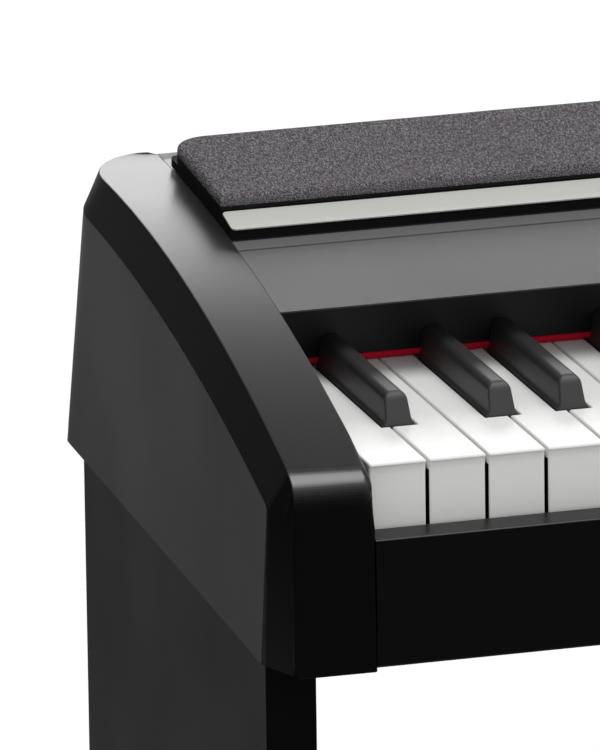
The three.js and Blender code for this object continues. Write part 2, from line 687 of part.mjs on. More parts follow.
function blackKey(key) {
  const centre = blackCentre(key);
  const base = BLACK_WIDTH / 2;
  const top = BLACK_TOP_WIDTH / 2;
  const section = [
    [centre - base, KEY_FOOT_BOTTOM - 1], [centre + base, KEY_FOOT_BOTTOM - 1], [centre + base, 1],
    [centre + top, BLACK_HEIGHT - BLACK_EDGE], [centre + top - BLACK_EDGE, BLACK_HEIGHT],
    [centre - top + BLACK_EDGE, BLACK_HEIGHT], [centre - top, BLACK_HEIGHT - BLACK_EDGE], [centre - base, 1],
  ];
  const rear = KEY_VISIBLE_LENGTH - 2 * CLEARANCE;
  const profile = [
    [BLACK_FRONT_Y, -BLACK_DEPTH], [BLACK_FRONT_Y, 0.5],
    [BLACK_FRONT_Y + BLACK_SLOPE, BLACK_HEIGHT - BLACK_EDGE],
    [BLACK_FRONT_Y + BLACK_SLOPE + BLACK_EDGE, BLACK_HEIGHT], [rear, BLACK_HEIGHT], [rear, -BLACK_TAIL_DROP],
    [blackLength, -BLACK_TAIL_DROP], [blackLength, KEY_FOOT_BOTTOM], [blackFootFront, KEY_FOOT_BOTTOM],
    [blackFootFront, -BLACK_DEPTH],
  ];
  const stick = solid(alongY(section, 0, blackLength + KEY_DEPTH));
  return stick.intersect(solid(alongX(profile, centre - BLACK_WIDTH, centre + BLACK_WIDTH)));
}

const SEMITONES = ['c', 'cs', 'd', 'ds', 'e', 'f', 'fs', 'g', 'gs', 'a', 'as', 'b'];
const noteName = (key) => `${SEMITONES[pitchClassOf(key)]}${Math.floor((key + FIRST_NOTE_INDEX) / 12)}`;

// Keys of one colour in one octave, joined by a bar across their feet.
function keySet(keys, makeKey, edges, footFront, barTop) {
  const first = edges(keys[0])[0];
  const last = edges(keys[keys.length - 1])[1];
  const comb = box(first, last, footFront, footFront + KEY_FOOT_LENGTH, KEY_FOOT_BOTTOM, barTop);
  return keys.map(makeKey).reduce((whole, key) => whole.add(key), solid(comb));
}
const whiteEdges = (key) => [whiteSides(key).rearLeft, whiteSides(key).rearRight];
const blackEdges = (key) => [blackCentre(key) - BLACK_WIDTH / 2, blackCentre(key) + BLACK_WIDTH / 2];

function addKeys() {
  for (let key = 0; key < SINGLE_KEYS; key += 1) {
    const black = isBlack(pitchClassOf(key));
    addPiece(`key_${noteName(key)}`, black ? blackKey(key) : whiteKey(key),
      black ? MATERIAL.keyBlack : MATERIAL.keyWhite);
  }
  for (let start = SINGLE_KEYS; start < KEY_COUNT; start += 12) {
    const octave = keyList.slice(start, start + 12);
    const whites = octave.filter((key) => !isBlack(pitchClassOf(key)));
    const blacks = octave.filter((key) => isBlack(pitchClassOf(key)));
    addPiece(`white_keys_${noteName(whites[0])}_up`,
      keySet(whites, whiteKey, whiteEdges, whiteFootFront, -KEY_DEPTH - 1), MATERIAL.keyWhite);
    addPiece(`black_keys_${noteName(blacks[0])}_up`,
      keySet(blacks, blackKey, blackEdges, blackFootFront, -BLACK_DEPTH - 1), MATERIAL.keyBlack);
  }
}
addKeys();

// ---------------------------------------------------------------- inside the cabinet

const railTop = KEY_FOOT_BOTTOM - CLEARANCE - 0.1;
const pressedFront = -Math.sin(WHITE_DIP_DEG * Math.PI / 180) * (whiteFootRear - KEY_FOOT_LENGTH / 2)
  + (PIVOT_Z + (-KEY_FRONT_DEPTH - PIVOT_Z));
const stopFeltTop = pressedFront - KEY_STOP_GAP;
const STOP_FELT = 3.5;
const chassisRear = blackLength + 4;

// Pressed steel frame: the stop shelf in front, the balance rail behind, a foot along each edge.
function keyChassis() {
  const sheet = 3;
  const front = 4;
  const shelf = KEY_APRON_LENGTH + 4;
  const rear = chassisRear;
  const step = stopFeltTop - STOP_FELT - CLEARANCE;
  const floor = step - 5;
  const foot = (y) => boardTop(y) + CLEARANCE;
  return alongX([
    [front, foot(front)], [front, step], [shelf, step], [shelf, floor + sheet],
    [whiteFootFront - 4, floor + sheet], [whiteFootFront - 4, railTop], [rear, railTop], [rear, foot(rear)],
    [rear - sheet, foot(rear - sheet)], [rear - sheet, railTop - sheet],
    [whiteFootFront - 4 + sheet, railTop - sheet], [whiteFootFront - 4 + sheet, floor],
    [shelf - sheet, floor], [shelf - sheet, step - sheet],
    [front + sheet, step - sheet], [front + sheet, foot(front + sheet)],
  ], -fittedHalf, fittedHalf);
}
addPiece('key_chassis', keyChassis(), MATERIAL.steel);
addPiece('key_stop_felt', box(-fittedHalf, fittedHalf, 5, KEY_APRON_LENGTH + 3,
  stopFeltTop - STOP_FELT, stopFeltTop), MATERIAL.felt);

// Circuit board on four posts, between the chassis and the rear panel.
function mainBoard() {
  const front = chassisRear + CIRCUIT_GAP;
  const rear = REAR_Y - WALL - CLEARANCE - CIRCUIT_GAP;
  const length = rear - front;
  const middle = (front + rear) / 2;
  const topZ = CIRCUIT_Z + CIRCUIT_SHEET;
  const half = CIRCUIT_WIDTH / 2;
  const post = (side, end) => {
    const y = middle + end * (length / 2 - POST_INSET);
    const low = boardTop(y) + CLEARANCE;
    return bar(POST_RADIUS, CIRCUIT_Z + 0.5 - low, CIRCUIT_X + side * (half - POST_INSET), y, low, 12);
  };
  // A component by its place and width across the board and its length, as shares of the board's.
  const part = (place, width, share, height) => {
    const x = CIRCUIT_X + place * CIRCUIT_WIDTH;
    const reach = width * half;
    const [near, far] = [middle - share * length / 2, middle + share * length / 2];
    return box(x - reach, x + reach, near, far, topZ - 0.5, topZ + height);
  };
  return join(
    box(CIRCUIT_X - half, CIRCUIT_X + half, front, rear, CIRCUIT_Z, topZ),
    post(-1, -1), post(1, -1), post(-1, 1), post(1, 1),
    part(-0.27, 0.085, 0.57, CHIP_HEIGHT), part(-0.08, 0.07, 0.47, CHIP_HEIGHT),
    part(0.15, 0.23, 0.62, CONVERTER_HEIGHT), part(0.37, 0.055, 0.36, CAPACITOR_HEIGHT),
  );
}
addPiece('main_board', mainBoard(), MATERIAL.board);

// ---------------------------------------------------------------- sockets

// Plate with two line outputs and the mains adaptor's inlet, held behind the rear panel by its flange.
function jackPlate() {
  const inside = REAR_Y - WALL - 2 * CLEARANCE;
  const face = REAR_Y - CLEARANCE - 0.5;
  const flange = alongY(rectangle(JACK_PLATE_X, JACK_PLATE_Z, JACK_PLATE_WIDTH + 2 * JACK_FLANGE,
    JACK_PLATE_HEIGHT + 2 * JACK_FLANGE), inside - 2, inside);
  const plate = alongY(rectangle(JACK_PLATE_X, JACK_PLATE_Z, JACK_PLATE_WIDTH - 2 * CLEARANCE,
    JACK_PLATE_HEIGHT - 2 * CLEARANCE), inside - 1, face);
  const places = [-1.5, -0.5, 1.5].map((step) => JACK_PLATE_X + step * JACK_SPACING);
  const bodies = places.map((x) => alongY(rectangle(x, JACK_PLATE_Z, SOCKET_BODY, SOCKET_BODY),
    inside - SOCKET_BODY, inside - 1));
  const hole = (x, radius) => barAlongY(radius, face - SOCKET_BODY, face + 1, x, JACK_PLATE_Z, 16);
  const shell = cut(join(flange, plate, ...bodies),
    hole(places[0], JACK_RADIUS), hole(places[1], JACK_RADIUS), hole(places[2], INLET_RADIUS));
  const pin = barAlongY(INLET_PIN_RADIUS, face - SOCKET_BODY - 1, face - 4, places[2], JACK_PLATE_Z, 10);
  return shell.add(solid(pin));
}
addPiece('jack_plate', jackPlate(), MATERIAL.satinBlack);

function headphoneBox() {
  const rearY = PHONES_FRONT_Y + PHONES_LENGTH;
  const top = (y) => underside(y) - CLEARANCE;
  const bottom = underside(PHONES_FRONT_Y) - PHONES_HEIGHT;
  const shell = alongX([
    [PHONES_FRONT_Y, top(PHONES_FRONT_Y)], [PHONES_FRONT_Y, bottom + 2], [PHONES_FRONT_Y + 2, bottom],
    [rearY - 12, bottom], [rearY, top(rearY) - 4], [rearY, top(rearY)],
  ], PHONES_X - PHONES_WIDTH / 2, PHONES_X + PHONES_WIDTH / 2);
  const holeZ = underside(PHONES_FRONT_Y) - PHONES_HEIGHT / 2;
  const hole = (x) => barAlongY(JACK_RADIUS, PHONES_FRONT_Y - 1, PHONES_FRONT_Y + PHONES_DEPTH, x, holeZ, 16);
  return cut(solid(shell), hole(PHONES_X - PHONES_SPACING / 2), hole(PHONES_X + PHONES_SPACING / 2));
}
addPiece('headphone_box', headphoneBox(), MATERIAL.satinBlack);

// ---------------------------------------------------------------- stand

const legOuter = halfWidth - LEG_INSET;
const legInner = legOuter - LEG_THICKNESS;
const across = (side, near, far) => (side < 0 ? [-far, -near] : [near, far]);

function leg(side) {
  const top = (y) => KEY_TOP_HEIGHT + underside(y) - CLEARANCE;
  const low = FOOT_HEIGHT + CLEARANCE;
  return alongX([[LEG_FRONT_Y, low], [LEG_REAR_Y, low], [LEG_REAR_Y, top(LEG_REAR_Y)],
    [LEG_FRONT_Y, top(LEG_FRONT_Y)]], ...across(side, legInner, legOuter));
}

function foot(side) {
  const centre = (legInner + legOuter) / 2;
  const outer = Math.min(halfWidth - 0.5, centre + FOOT_WIDTH / 2);
  return alongX([
    [FOOT_FRONT_Y, 4], [FOOT_FRONT_Y + 4, 0], [FOOT_REAR_Y - 4, 0], [FOOT_REAR_Y, 4],
    [FOOT_REAR_Y, FOOT_TOE_HEIGHT + 8], [FOOT_REAR_Y - 14, FOOT_HEIGHT], [LEG_FRONT_Y - 10, FOOT_HEIGHT],
    [FOOT_FRONT_Y + 6, FOOT_TOE_HEIGHT], [FOOT_FRONT_Y, FOOT_TOE_HEIGHT - 5],
  ], ...across(side, outer - FOOT_WIDTH, outer));
}

function backBoard() {
  const half = legInner - CLEARANCE;
  return box(-half, half, BACK_BOARD_REAR_Y - BACK_BOARD_THICKNESS, BACK_BOARD_REAR_Y,
    BACK_BOARD_TOP - BACK_BOARD_HEIGHT, BACK_BOARD_TOP);
}

// Steel angle between a leg and the underside of the body, with its bolts and hand screws.
function bracket(side) {
  const near = legInner - CLEARANCE;
  const shelf = (y) => KEY_TOP_HEIGHT + underside(y) - CLEARANCE;
  const [front, rear] = [BRACKET_FRONT_Y, BRACKET_REAR_Y];
  const plate = alongX([[front, shelf(front) - BRACKET_DROP], [rear, shelf(rear) - BRACKET_DROP],
    [rear, shelf(rear)], [front, shelf(front)]], ...across(side, near - BRACKET_SHEET, near));
  const arm = alongX([[front, shelf(front) - BRACKET_SHEET], [rear, shelf(rear) - BRACKET_SHEET],
    [rear, shelf(rear)], [front, shelf(front)]], ...across(side, near - BRACKET_REACH, near));
  const screwYs = [front + SCREW_INSET, rear - SCREW_INSET];
  const screws = screwYs.map((y) => bar(SCREW_RADIUS, SCREW_HEAD, side * (near - BRACKET_REACH * 0.6), y,
    shelf(y) - BRACKET_SHEET - SCREW_HEAD + 1));
  const bolts = screwYs.map((y) => new THREE.CylinderGeometry(BOLT_RADIUS, BOLT_RADIUS, BOLT_HEAD, 6)
    .rotateZ(Math.PI / 2)
    .translate(side * (near - BRACKET_SHEET - 1.5), y, shelf(y) - BRACKET_DROP * 0.6));
  return join(plate, arm, ...screws, ...bolts);
}

for (const [word, side] of [['left', -1], ['right', 1]]) {
  addPiece(`${word}_leg`, leg(side), MATERIAL.wood, stand);
  addPiece(`${word}_foot`, foot(side), MATERIAL.wood, stand);
  addPiece(`${word}_bracket`, bracket(side), MATERIAL.steel, stand);
}
addPiece('back_board', backBoard(), MATERIAL.wood, stand);

export default piano;
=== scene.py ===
import math

import bmesh
import bpy
from mathutils import Matrix, Vector, noise


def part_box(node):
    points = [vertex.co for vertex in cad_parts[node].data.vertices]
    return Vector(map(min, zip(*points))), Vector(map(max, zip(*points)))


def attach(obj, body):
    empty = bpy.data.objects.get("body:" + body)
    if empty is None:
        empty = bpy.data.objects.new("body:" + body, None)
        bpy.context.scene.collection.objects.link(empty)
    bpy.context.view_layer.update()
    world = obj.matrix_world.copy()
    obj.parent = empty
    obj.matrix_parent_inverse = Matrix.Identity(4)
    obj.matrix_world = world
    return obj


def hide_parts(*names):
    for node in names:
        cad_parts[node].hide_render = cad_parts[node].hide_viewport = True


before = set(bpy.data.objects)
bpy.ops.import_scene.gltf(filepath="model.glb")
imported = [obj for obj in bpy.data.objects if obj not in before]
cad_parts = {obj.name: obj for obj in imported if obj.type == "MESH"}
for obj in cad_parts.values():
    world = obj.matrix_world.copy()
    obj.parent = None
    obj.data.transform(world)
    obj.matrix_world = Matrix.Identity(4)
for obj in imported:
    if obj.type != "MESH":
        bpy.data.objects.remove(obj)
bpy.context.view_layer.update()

# ---------------------------------------------------------------- camera
# A long lens at the bass end, a little above the keys, as someone standing there sees the piano:
# the place is in metres from the middle of the floor under it.
LENS_MM, SENSOR_MM = 576, 36
CAMERA_PLACE = (-1.8548, -4.2742, 1.9841)
YAW, PITCH, ROLL = math.radians(16.366), math.radians(15.846), math.radians(-0.798)

camera = bpy.data.objects.new("camera", bpy.data.cameras.new("camera"))
camera.data.lens = LENS_MM
camera.data.sensor_width = SENSOR_MM
camera.matrix_world = (
    Matrix.Translation(CAMERA_PLACE)
    @ Matrix.Rotation(-YAW, 4, "Z")
    @ Matrix.Rotation(math.pi / 2 - PITCH, 4, "X")
    @ Matrix.Rotation(ROLL, 4, "Z")
)
bpy.context.scene.collection.objects.link(camera)
bpy.context.scene.camera = camera
bpy.context.scene.view_settings.view_transform = "Standard"

# ---------------------------------------------------------------- lamps and studio
# One very wide soft lamp in front of the piano and above it, a smaller one nearly overhead, a low
# one far behind, and pale walls all round.
KEY_TOWARDS = Vector((0.34, -0.74, 0.58))
OVERHEAD_TOWARDS = Vector((0.27, -0.08, 0.96))
REAR_TOWARDS = Vector((0.27, 0.92, 0.31))


def add_lamp(name, towards, strength, width_degrees):
    """A distant round lamp that stands in this direction from the piano."""
    lamp = bpy.data.objects.new(name, bpy.data.lights.new(name, "SUN"))
    lamp.data.energy = strength
    lamp.data.angle = math.radians(width_degrees)
    lamp.rotation_euler = towards.to_track_quat("Z", "Y").to_euler()
    bpy.context.scene.collection.objects.link(lamp)


add_lamp("softbox_above", KEY_TOWARDS, strength=0.98, width_degrees=95)
add_lamp("overhead_lamp", OVERHEAD_TOWARDS, strength=1.6, width_degrees=38)
add_lamp("low_wall_lamp", REAR_TOWARDS, strength=0.66, width_degrees=24)


def linear(hex_colour):
    """An sRGB hex colour as linear RGBA."""
    parts = [int(hex_colour[i:i + 2], 16) / 255 for i in (1, 3, 5)]
    return [p / 12.92 if p <= 0.04045 else ((p + 0.055) / 1.055) ** 2.4 for p in parts] + [1]


def add_node(tree, kind, sockets=None, **settings):
    """A node with its settings, and its sockets set to values or linked to other nodes' outputs."""
    node = tree.nodes.new(kind)
    for name, value in settings.items():
        setattr(node, name, value)
    for name, value in (sockets or {}).items():
        if isinstance(value, bpy.types.NodeSocket):
            tree.links.new(value, node.inputs[name])
        else:
            node.inputs[name].default_value = value
    return node


def seen_directly(tree):
    """1 where the camera, a mirror or glass looks, 0 for the light that spreads from it."""
    path = add_node(tree, "ShaderNodeLightPath")
    direct = add_node(tree, "ShaderNodeMath", {
        0: path.outputs["Is Camera Ray"], 1: path.outputs["Is Glossy Ray"]}, operation="MAXIMUM")
    through = add_node(tree, "ShaderNodeMath", {
        0: direct.outputs[0], 1: path.outputs["Is Transmission Ray"]}, operation="MAXIMUM")
    return through.outputs[0]


STUDIO_GLOW = 0.3
world = bpy.data.worlds.new("pale_studio")
bpy.context.scene.world = world
world.use_nodes = True
world.node_tree.nodes["Background"].inputs["Strength"].default_value = STUDIO_GLOW
world.node_tree.nodes["Background"].inputs["Color"].default_value = (1, 1, 1, 1)

# Studio floor: matt paint that looks white itself but throws less light back at the piano, whose
# shadow stays on it.
FLOOR_METRES = 120
floor_mesh = bmesh.new()
bmesh.ops.create_grid(floor_mesh, x_segments=1, y_segments=1, size=FLOOR_METRES / 2)
floor_data = bpy.data.meshes.new("floor")
floor_mesh.to_mesh(floor_data)
floor_mesh.free()
floor = bpy.data.objects.new("floor", floor_data)
bpy.context.scene.collection.objects.link(floor)
floor_paint = bpy.data.materials.new("matt_white_floor_paint")
floor_paint.use_nodes = True
paint_tree = floor_paint.node_tree
paint_tree.nodes.clear()
paint_colour = add_node(paint_tree, "ShaderNodeMix", {
    "Factor": seen_directly(paint_tree), 6: linear("#b4b4b2"), 7: (1, 1, 1, 1)}, data_type="RGBA")
paint = add_node(paint_tree, "ShaderNodeBsdfDiffuse", {"Color": paint_colour.outputs[2]})
add_node(paint_tree, "ShaderNodeOutputMaterial", {"Surface": paint.outputs[0]})
floor_data.materials.append(floor_paint)

# ---------------------------------------------------------------- end blocks
# Each end is one tall cheek of board with a film pressed over it, screwed to the body from inside.
# Its top is one long arc that rolls over a round nose at the front, with a slanted bevel outside
# it, and a moulded cap in satin black covers the arc and the nose.

# All sizes are in millimetres from the front edge of the white keys, at their top, and places
# closer together than NEAR count as one.
KEYBOARD = Matrix.Translation((0, -0.128, 0.72)) @ Matrix.Scale(0.001, 4)
NEAR = 0.1
INNER_HALF = 611.8
FRONT_Y, REAR_Y = -12, 284
UNDERSIDE_Z, UNDERSIDE_SLOPE = -78.1, 0.0465

# The long arc, and the nose that it runs into.
CREST_Y, CREST_Z = 268, 51.4
TOP_RADIUS = 730
NOSE_Y, NOSE_RADIUS = 4, 16
nose_angle = math.atan((CREST_Y - NOSE_Y) / TOP_RADIUS)
nose_end = NOSE_Y - NOSE_RADIUS * math.sin(nose_angle)


def long_arc(y):
    """Height of the long arc."""
    return CREST_Z - max(0, CREST_Y - y) ** 2 / (2 * TOP_RADIUS)


nose_z = long_arc(nose_end) - NOSE_RADIUS * math.cos(nose_angle)


def outer_top(y):
    """Height of the block's outer top line."""
    if y < nose_end:
        return nose_z + math.sqrt(max(0, NOSE_RADIUS ** 2 - (y - NOSE_Y) ** 2))
    return long_arc(y)


# The top falls towards the keys. The fall grows behind the nose and fades out near the rear,
# first as a quarter circle and, past its knee, as a gentle tail.
TOP_FALL, FALL_GROWTH = 4.8, 30
FADE_Y, FADE_LENGTH = 150, 120
FADE_KNEE, KNEE_SHARE, FADE_TAIL = 0.8, 0.6, 0.9


def inner_top(y):
    """Height of the block's inner top line, which the panels follow."""
    fall = TOP_FALL * (1 - math.exp(-(y - FRONT_Y) / FALL_GROWTH))
    along = max(0, (y - FADE_Y) / FADE_LENGTH)
    if along < FADE_KNEE:
        fade = math.sqrt(1 - along ** 2)
    else:
        fade = KNEE_SHARE * (1 - (along - FADE_KNEE) / FADE_TAIL) ** 2
    return outer_top(y) - fall * fade


def underside(y):
    """Height of the block's underside, which rises a little towards the rear."""
    return UNDERSIDE_Z + (y - FRONT_Y) * UNDERSIDE_SLOPE


# In plan: the widths of the top and of the bevel outside it, the front edge between the bevel and
# the side, and the rear corner, which starts further back the lower it lies.
TOP_WIDTH, BEVEL_WIDTH, LEAST_BEVEL = 31.7, 8.5, 0.1
FRONT_EDGE_Y, FRONT_EDGE_ROUND = -3.8, 1
LEAN_Z, LEAN_SLOPE, LEAN_FADE = -14.6, 0.163, 40
REAR_TURN_Y, REAR_TURN_Z, REAR_TURN_SLOPE, REAR_TURN_SHARE = 241.3, 38.4, 0.367, 0.78
TOP_TURN_Y, TOP_TURN_DEPTH = 249, 26.5


def side_place(station, z):
    """How far out the side stands at a station, and how far back its row of the skin lies there."""
    lean = max(0, LEAN_Z - z) * LEAN_SLOPE
    full = TOP_WIDTH + BEVEL_WIDTH
    ahead = station - FRONT_EDGE_Y
    ramp = BEVEL_WIDTH / (FRONT_EDGE_Y - FRONT_Y)
    if ahead < FRONT_EDGE_ROUND:
        turn = FRONT_EDGE_ROUND
        lost = -ramp * ahead if ahead < -turn else ramp * (turn - ahead) ** 2 / (4 * turn)
        back = station + lean * min(1, (station - FRONT_Y) / (FRONT_EDGE_Y - FRONT_Y))
        return max(TOP_WIDTH + LEAST_BEVEL, full - lost), back
    back = station + lean * max(0, 1 - ahead / LEAN_FADE)
    turn_start = REAR_TURN_Y + (REAR_TURN_Z - z) * REAR_TURN_SLOPE
    along = max(0, (back - turn_start) / (REAR_Y - turn_start))
    depth = REAR_TURN_SHARE * (REAR_Y - turn_start)
    return full - depth * (1 - math.sqrt(max(0, 1 - along ** 2))), back


def top_reach(y):
    """How far out the top reaches, less over the rear corner."""
    along = max(0, (y - TOP_TURN_Y) / (REAR_Y - TOP_TURN_Y))
    return TOP_WIDTH - TOP_TURN_DEPTH * (1 - math.sqrt(max(0, 1 - along ** 2)))


def turned_in(y, radius):
    """How far the inner face is drawn in near the front, where its corner is round in plan."""
    short = max(0, radius - (y - FRONT_Y))
    return radius - math.sqrt(max(0, radius ** 2 - short ** 2))


def round_corners(points, radii, steps=3):
    """A closed outline with every corner turned into an arc of its own radius."""
    nearly_straight = math.radians(89)
    outline = []
    for i, (point, radius) in enumerate(zip(points, radii)):
        corner = Vector(point)
        back = (Vector(points[i - 1]) - corner).normalized()
        ahead = (Vector(points[(i + 1) % len(points)]) - corner).normalized()
        half = back.angle(ahead) / 2
        if radius == 0 or half > nearly_straight:
            outline.append(corner)
            continue
        middle = corner + (back + ahead).normalized() * radius / math.sin(half)
        first = corner + back * radius / math.tan(half) - middle
        last = corner + ahead * radius / math.tan(half) - middle
        for step in range(steps + 1):
            outline.append(middle + first.lerp(last, step / steps).normalized() * radius)
    return outline


SAME_POINT = 0.0005


def skin(rings):
    """A closed skin over rings of points: a grid rolled up along them, with a face at each end."""
    around = len(rings[0])
    mesh = bmesh.new()
    bmesh.ops.create_grid(mesh, x_segments=around, y_segments=len(rings) - 1, size=1)
    for index, vertex in enumerate(mesh.verts):
        ring, place = divmod(index, around + 1)
        vertex.co = rings[ring][place % around]
    bmesh.ops.remove_doubles(mesh, verts=mesh.verts, dist=SAME_POINT)
    bmesh.ops.holes_fill(mesh, edges=mesh.edges, sides=0)
    bmesh.ops.recalc_face_normals(mesh, faces=mesh.faces)
    return mesh


# The section: the bevel's depth, deepest halfway back, the rows of the skin down the side, and the
# radius of each edge. The inner edge is rounder over the nose and sharp beside the speaker bar,
# and the front corner is rounder in plan the higher it lies.
BEVEL_DEPTH, BEVEL_SWELL = 12.5, 2.2
SIDE_ROWS = 12
INNER_LOW_EDGE, TOP_EDGE, OUTER_LOW_EDGE = 0.6, 0.8, 1.2
INNER_EDGE, FITTED_EDGE, BESIDE_BAR_Y = 0.7, 0.1, 172
NOSE_EDGE_EXTRA, NOSE_EDGE_FADE = 2.8, 22
CORNER_MIDDLE_Z = -22
CORNER_LOW, CORNER_MIDDLE, CORNER_TOP = 0.5, 1.6, 6


def block_section(side, station, inset):
    """The block's outline across at a station, with its front or rear edges drawn in by inset."""
    top, low = outer_top(station), underside(station)
    swell = BEVEL_SWELL * math.sin(math.pi * min(1, max(0, station / REAR_Y)))
    bevel_z = top - BEVEL_DEPTH - swell
    corners = [
        (max(inset, turned_in(station, CORNER_LOW)), station, low + inset),
        (max(inset, turned_in(station, CORNER_MIDDLE)), station, CORNER_MIDDLE_Z),
        (max(inset, turned_in(station, CORNER_TOP)), station, inner_top(station)),
        (top_reach(station) - inset, station, top),
    ]
    nearness = min(1, max(0, (NOSE_EDGE_FADE - station) / NOSE_EDGE_FADE))
    inner_edge = INNER_EDGE + NOSE_EDGE_EXTRA * nearness if station < BESIDE_BAR_Y else FITTED_EDGE
    radii = [INNER_LOW_EDGE, 0, inner_edge, TOP_EDGE]
    for row in range(SIDE_ROWS + 1):
        z = bevel_z + (low - bevel_z) * row / SIDE_ROWS
        reach, back = side_place(station, z)
        last = row == SIDE_ROWS
        corners.append((reach - inset, back, z + (inset if last else 0)))
        radii.append(TOP_EDGE if row == 0 else OUTER_LOW_EDGE if last else 0)
    section = []
    for i, (corner, radius) in enumerate(zip(corners, radii)):
        neighbours = [corners[i - 1], corner, corners[(i + 1) % len(corners)]]
        if radius:
            section += round_corners(neighbours, [0, radius, 0])[1:-1]
        else:
            section.append(Vector(corner))
    return [(side * (INNER_HALF + reach), y, z) for reach, y, z in section]


END_EDGE, END_STEPS = 0.8, 4
ARC_STEP, NOSE_GAP = 4, 0.3
REAR_CORNER_Y, REAR_CORNER_END, REAR_CORNER_STEPS = 240, REAR_Y - 0.9, 18


def block_stations():
    """Places along the block with their insets, close together on the nose and the rear corner."""
    turns = [math.pi / 2 * step / END_STEPS for step in range(END_STEPS)]
    ends = [(END_EDGE * (1 - math.cos(turn)), END_EDGE * (1 - math.sin(turn))) for turn in turns]
    nose = [NOSE_Y - NOSE_RADIUS * math.cos(math.radians(angle)) for angle in range(13, 73, 4)]
    nose = [y for y in nose if y < nose_end - NOSE_GAP] + [nose_end]
    nose += [FRONT_EDGE_Y + FRONT_EDGE_ROUND * step / 2 for step in range(-2, 3)]
    arc = [ARC_STEP * step for step in range(REAR_CORNER_Y // ARC_STEP)]
    length = REAR_CORNER_END - REAR_CORNER_Y
    corner = [REAR_CORNER_Y + length * math.sin(math.pi / 2 * step / REAR_CORNER_STEPS)
              for step in range(REAR_CORNER_STEPS + 1)]
    front = [(FRONT_Y + along, inset) for along, inset in ends]
    rear = [(REAR_Y - along, inset) for along, inset in reversed(ends)]
    return front + [(y, 0) for y in sorted(nose) + arc + corner] + rear


def new_finish(name, hex_colour, sockets):
    """A material whose shader has this colour and these fixed values."""
    material = bpy.data.materials.new(name)
    material.use_nodes = True
    shader = material.node_tree.nodes["Principled BSDF"]
    shader.inputs["Base Color"].default_value = linear(hex_colour)
    for socket, value in sockets.items():
        shader.inputs[socket].default_value = value
    return material


# Real grains are a few tenths of a millimetre. They are drawn coarser, so that they still show.
GRAIN_DETAIL = 2
WANDER_PER_METRE, WANDER_DETAIL, WANDER_LOW, WANDER_HIGH = 9, 3, 0.3, 0.7


def press_grain(material, spacing_mm, depth_mm, tone=0.1, polish=0.04):
    """Presses a fine grain into a finish, with small changes of tone, and a polish that wanders."""
    tree = material.node_tree
    shader = tree.nodes["Principled BSDF"]
    place = add_node(tree, "ShaderNodeTexCoord").outputs["Object"]
    grain = add_node(tree, "ShaderNodeTexNoise", {
        "Vector": place, "Scale": 1000 / spacing_mm, "Detail": GRAIN_DETAIL})
    wander = add_node(tree, "ShaderNodeTexNoise", {
        "Vector": place, "Scale": WANDER_PER_METRE, "Detail": WANDER_DETAIL})
    colour = list(shader.inputs["Base Color"].default_value)[:3]
    shades = add_node(tree, "ShaderNodeMix", {
        "Factor": grain.outputs[0], 6: [c * (1 - tone) for c in colour] + [1],
        7: [c * (1 + tone) for c in colour] + [1]}, data_type="RGBA")
    tree.links.new(shades.outputs[2], shader.inputs["Base Color"])
    rough = shader.inputs["Roughness"].default_value
    sheen = add_node(tree, "ShaderNodeMapRange", {
        "Value": wander.outputs[0], "From Min": WANDER_LOW, "From Max": WANDER_HIGH,
        "To Min": rough - polish, "To Max": min(1, rough + polish)})
    tree.links.new(sheen.outputs[0], shader.inputs["Roughness"])
    bump = add_node(tree, "ShaderNodeBump", {
        "Height": grain.outputs[0], "Strength": 1, "Distance": depth_mm / 1000})
    tree.links.new(bump.outputs[0], shader.inputs["Normal"])
    return material


# Polyester film pressed over board: matt and nearly black on the upright faces.
film = press_grain(new_finish("matt_black_polyester_film", "#171717", {
    "Roughness": 0.5, "Specular IOR Level": 0.038}), spacing_mm=0.9, depth_mm=0.01)
# The same film, darker and with less gloss, on the faces turned to the front: painted shade that
# keeps them the darkest faces.
front_shade_film = press_grain(new_finish("painted_shade_black_front_film", "#040404", {
    "Roughness": 0.35, "Specular IOR Level": 0.03}), spacing_mm=0.9, depth_mm=0.006)
# Round the outer corner, between the slanted bevel and the upright one, the film at a half tone:
# painted shade between the two.
corner_half_shade_film = press_grain(new_finish("painted_half_shade_corner_film", "#0d0d0d", {
    "Roughness": 0.45, "Specular IOR Level": 0.034}), spacing_mm=0.9, depth_mm=0.008)
# Moulded satin ABS on the top, which lifts to a long soft reflection where it lies flat.
cap = press_grain(new_finish("satin_black_moulded_cap", "#050505", {
    "Roughness": 0.33, "Specular IOR Level": 0.3, "Sheen Weight": 0.8,
    "Sheen Roughness": 0.27}), spacing_mm=0.9, depth_mm=0.003, polish=0.02)
# Down the nose the cap's gloss falls away, in steps, into the front's darker film: a painted fade
# that narrows the nose's highlight and ends it. Each step has the angle down from the crown where
# it starts, in degrees, and its specular level.
NOSE_HIGHLIGHT_FADE = (
    (0, 0.75), (51, 0.55), (55, 0.4), (59, 0.28), (63, 0.18),
    (67, 0.11), (71, 0.075), (75, 0.055), (79, 0.04), (84, 0.03),
)
highlight_fade_caps = [press_grain(new_finish(f"satin_black_cap_highlight_fade_{step}", "#050505", {
    "Roughness": 0.28, "Specular IOR Level": level}), spacing_mm=0.9, depth_mm=0.003, polish=0.02)
    for step, (_, level) in enumerate(NOSE_HIGHLIGHT_FADE[:-1], 1)]


def shade(mesh, crease_degrees):
    """Smooth shading that breaks at every edge sharper than the crease."""
    for face in mesh.faces:
        face.smooth = True
    for edge in mesh.edges:
        edge.smooth = edge.is_manifold and edge.calc_face_angle() < math.radians(crease_degrees)


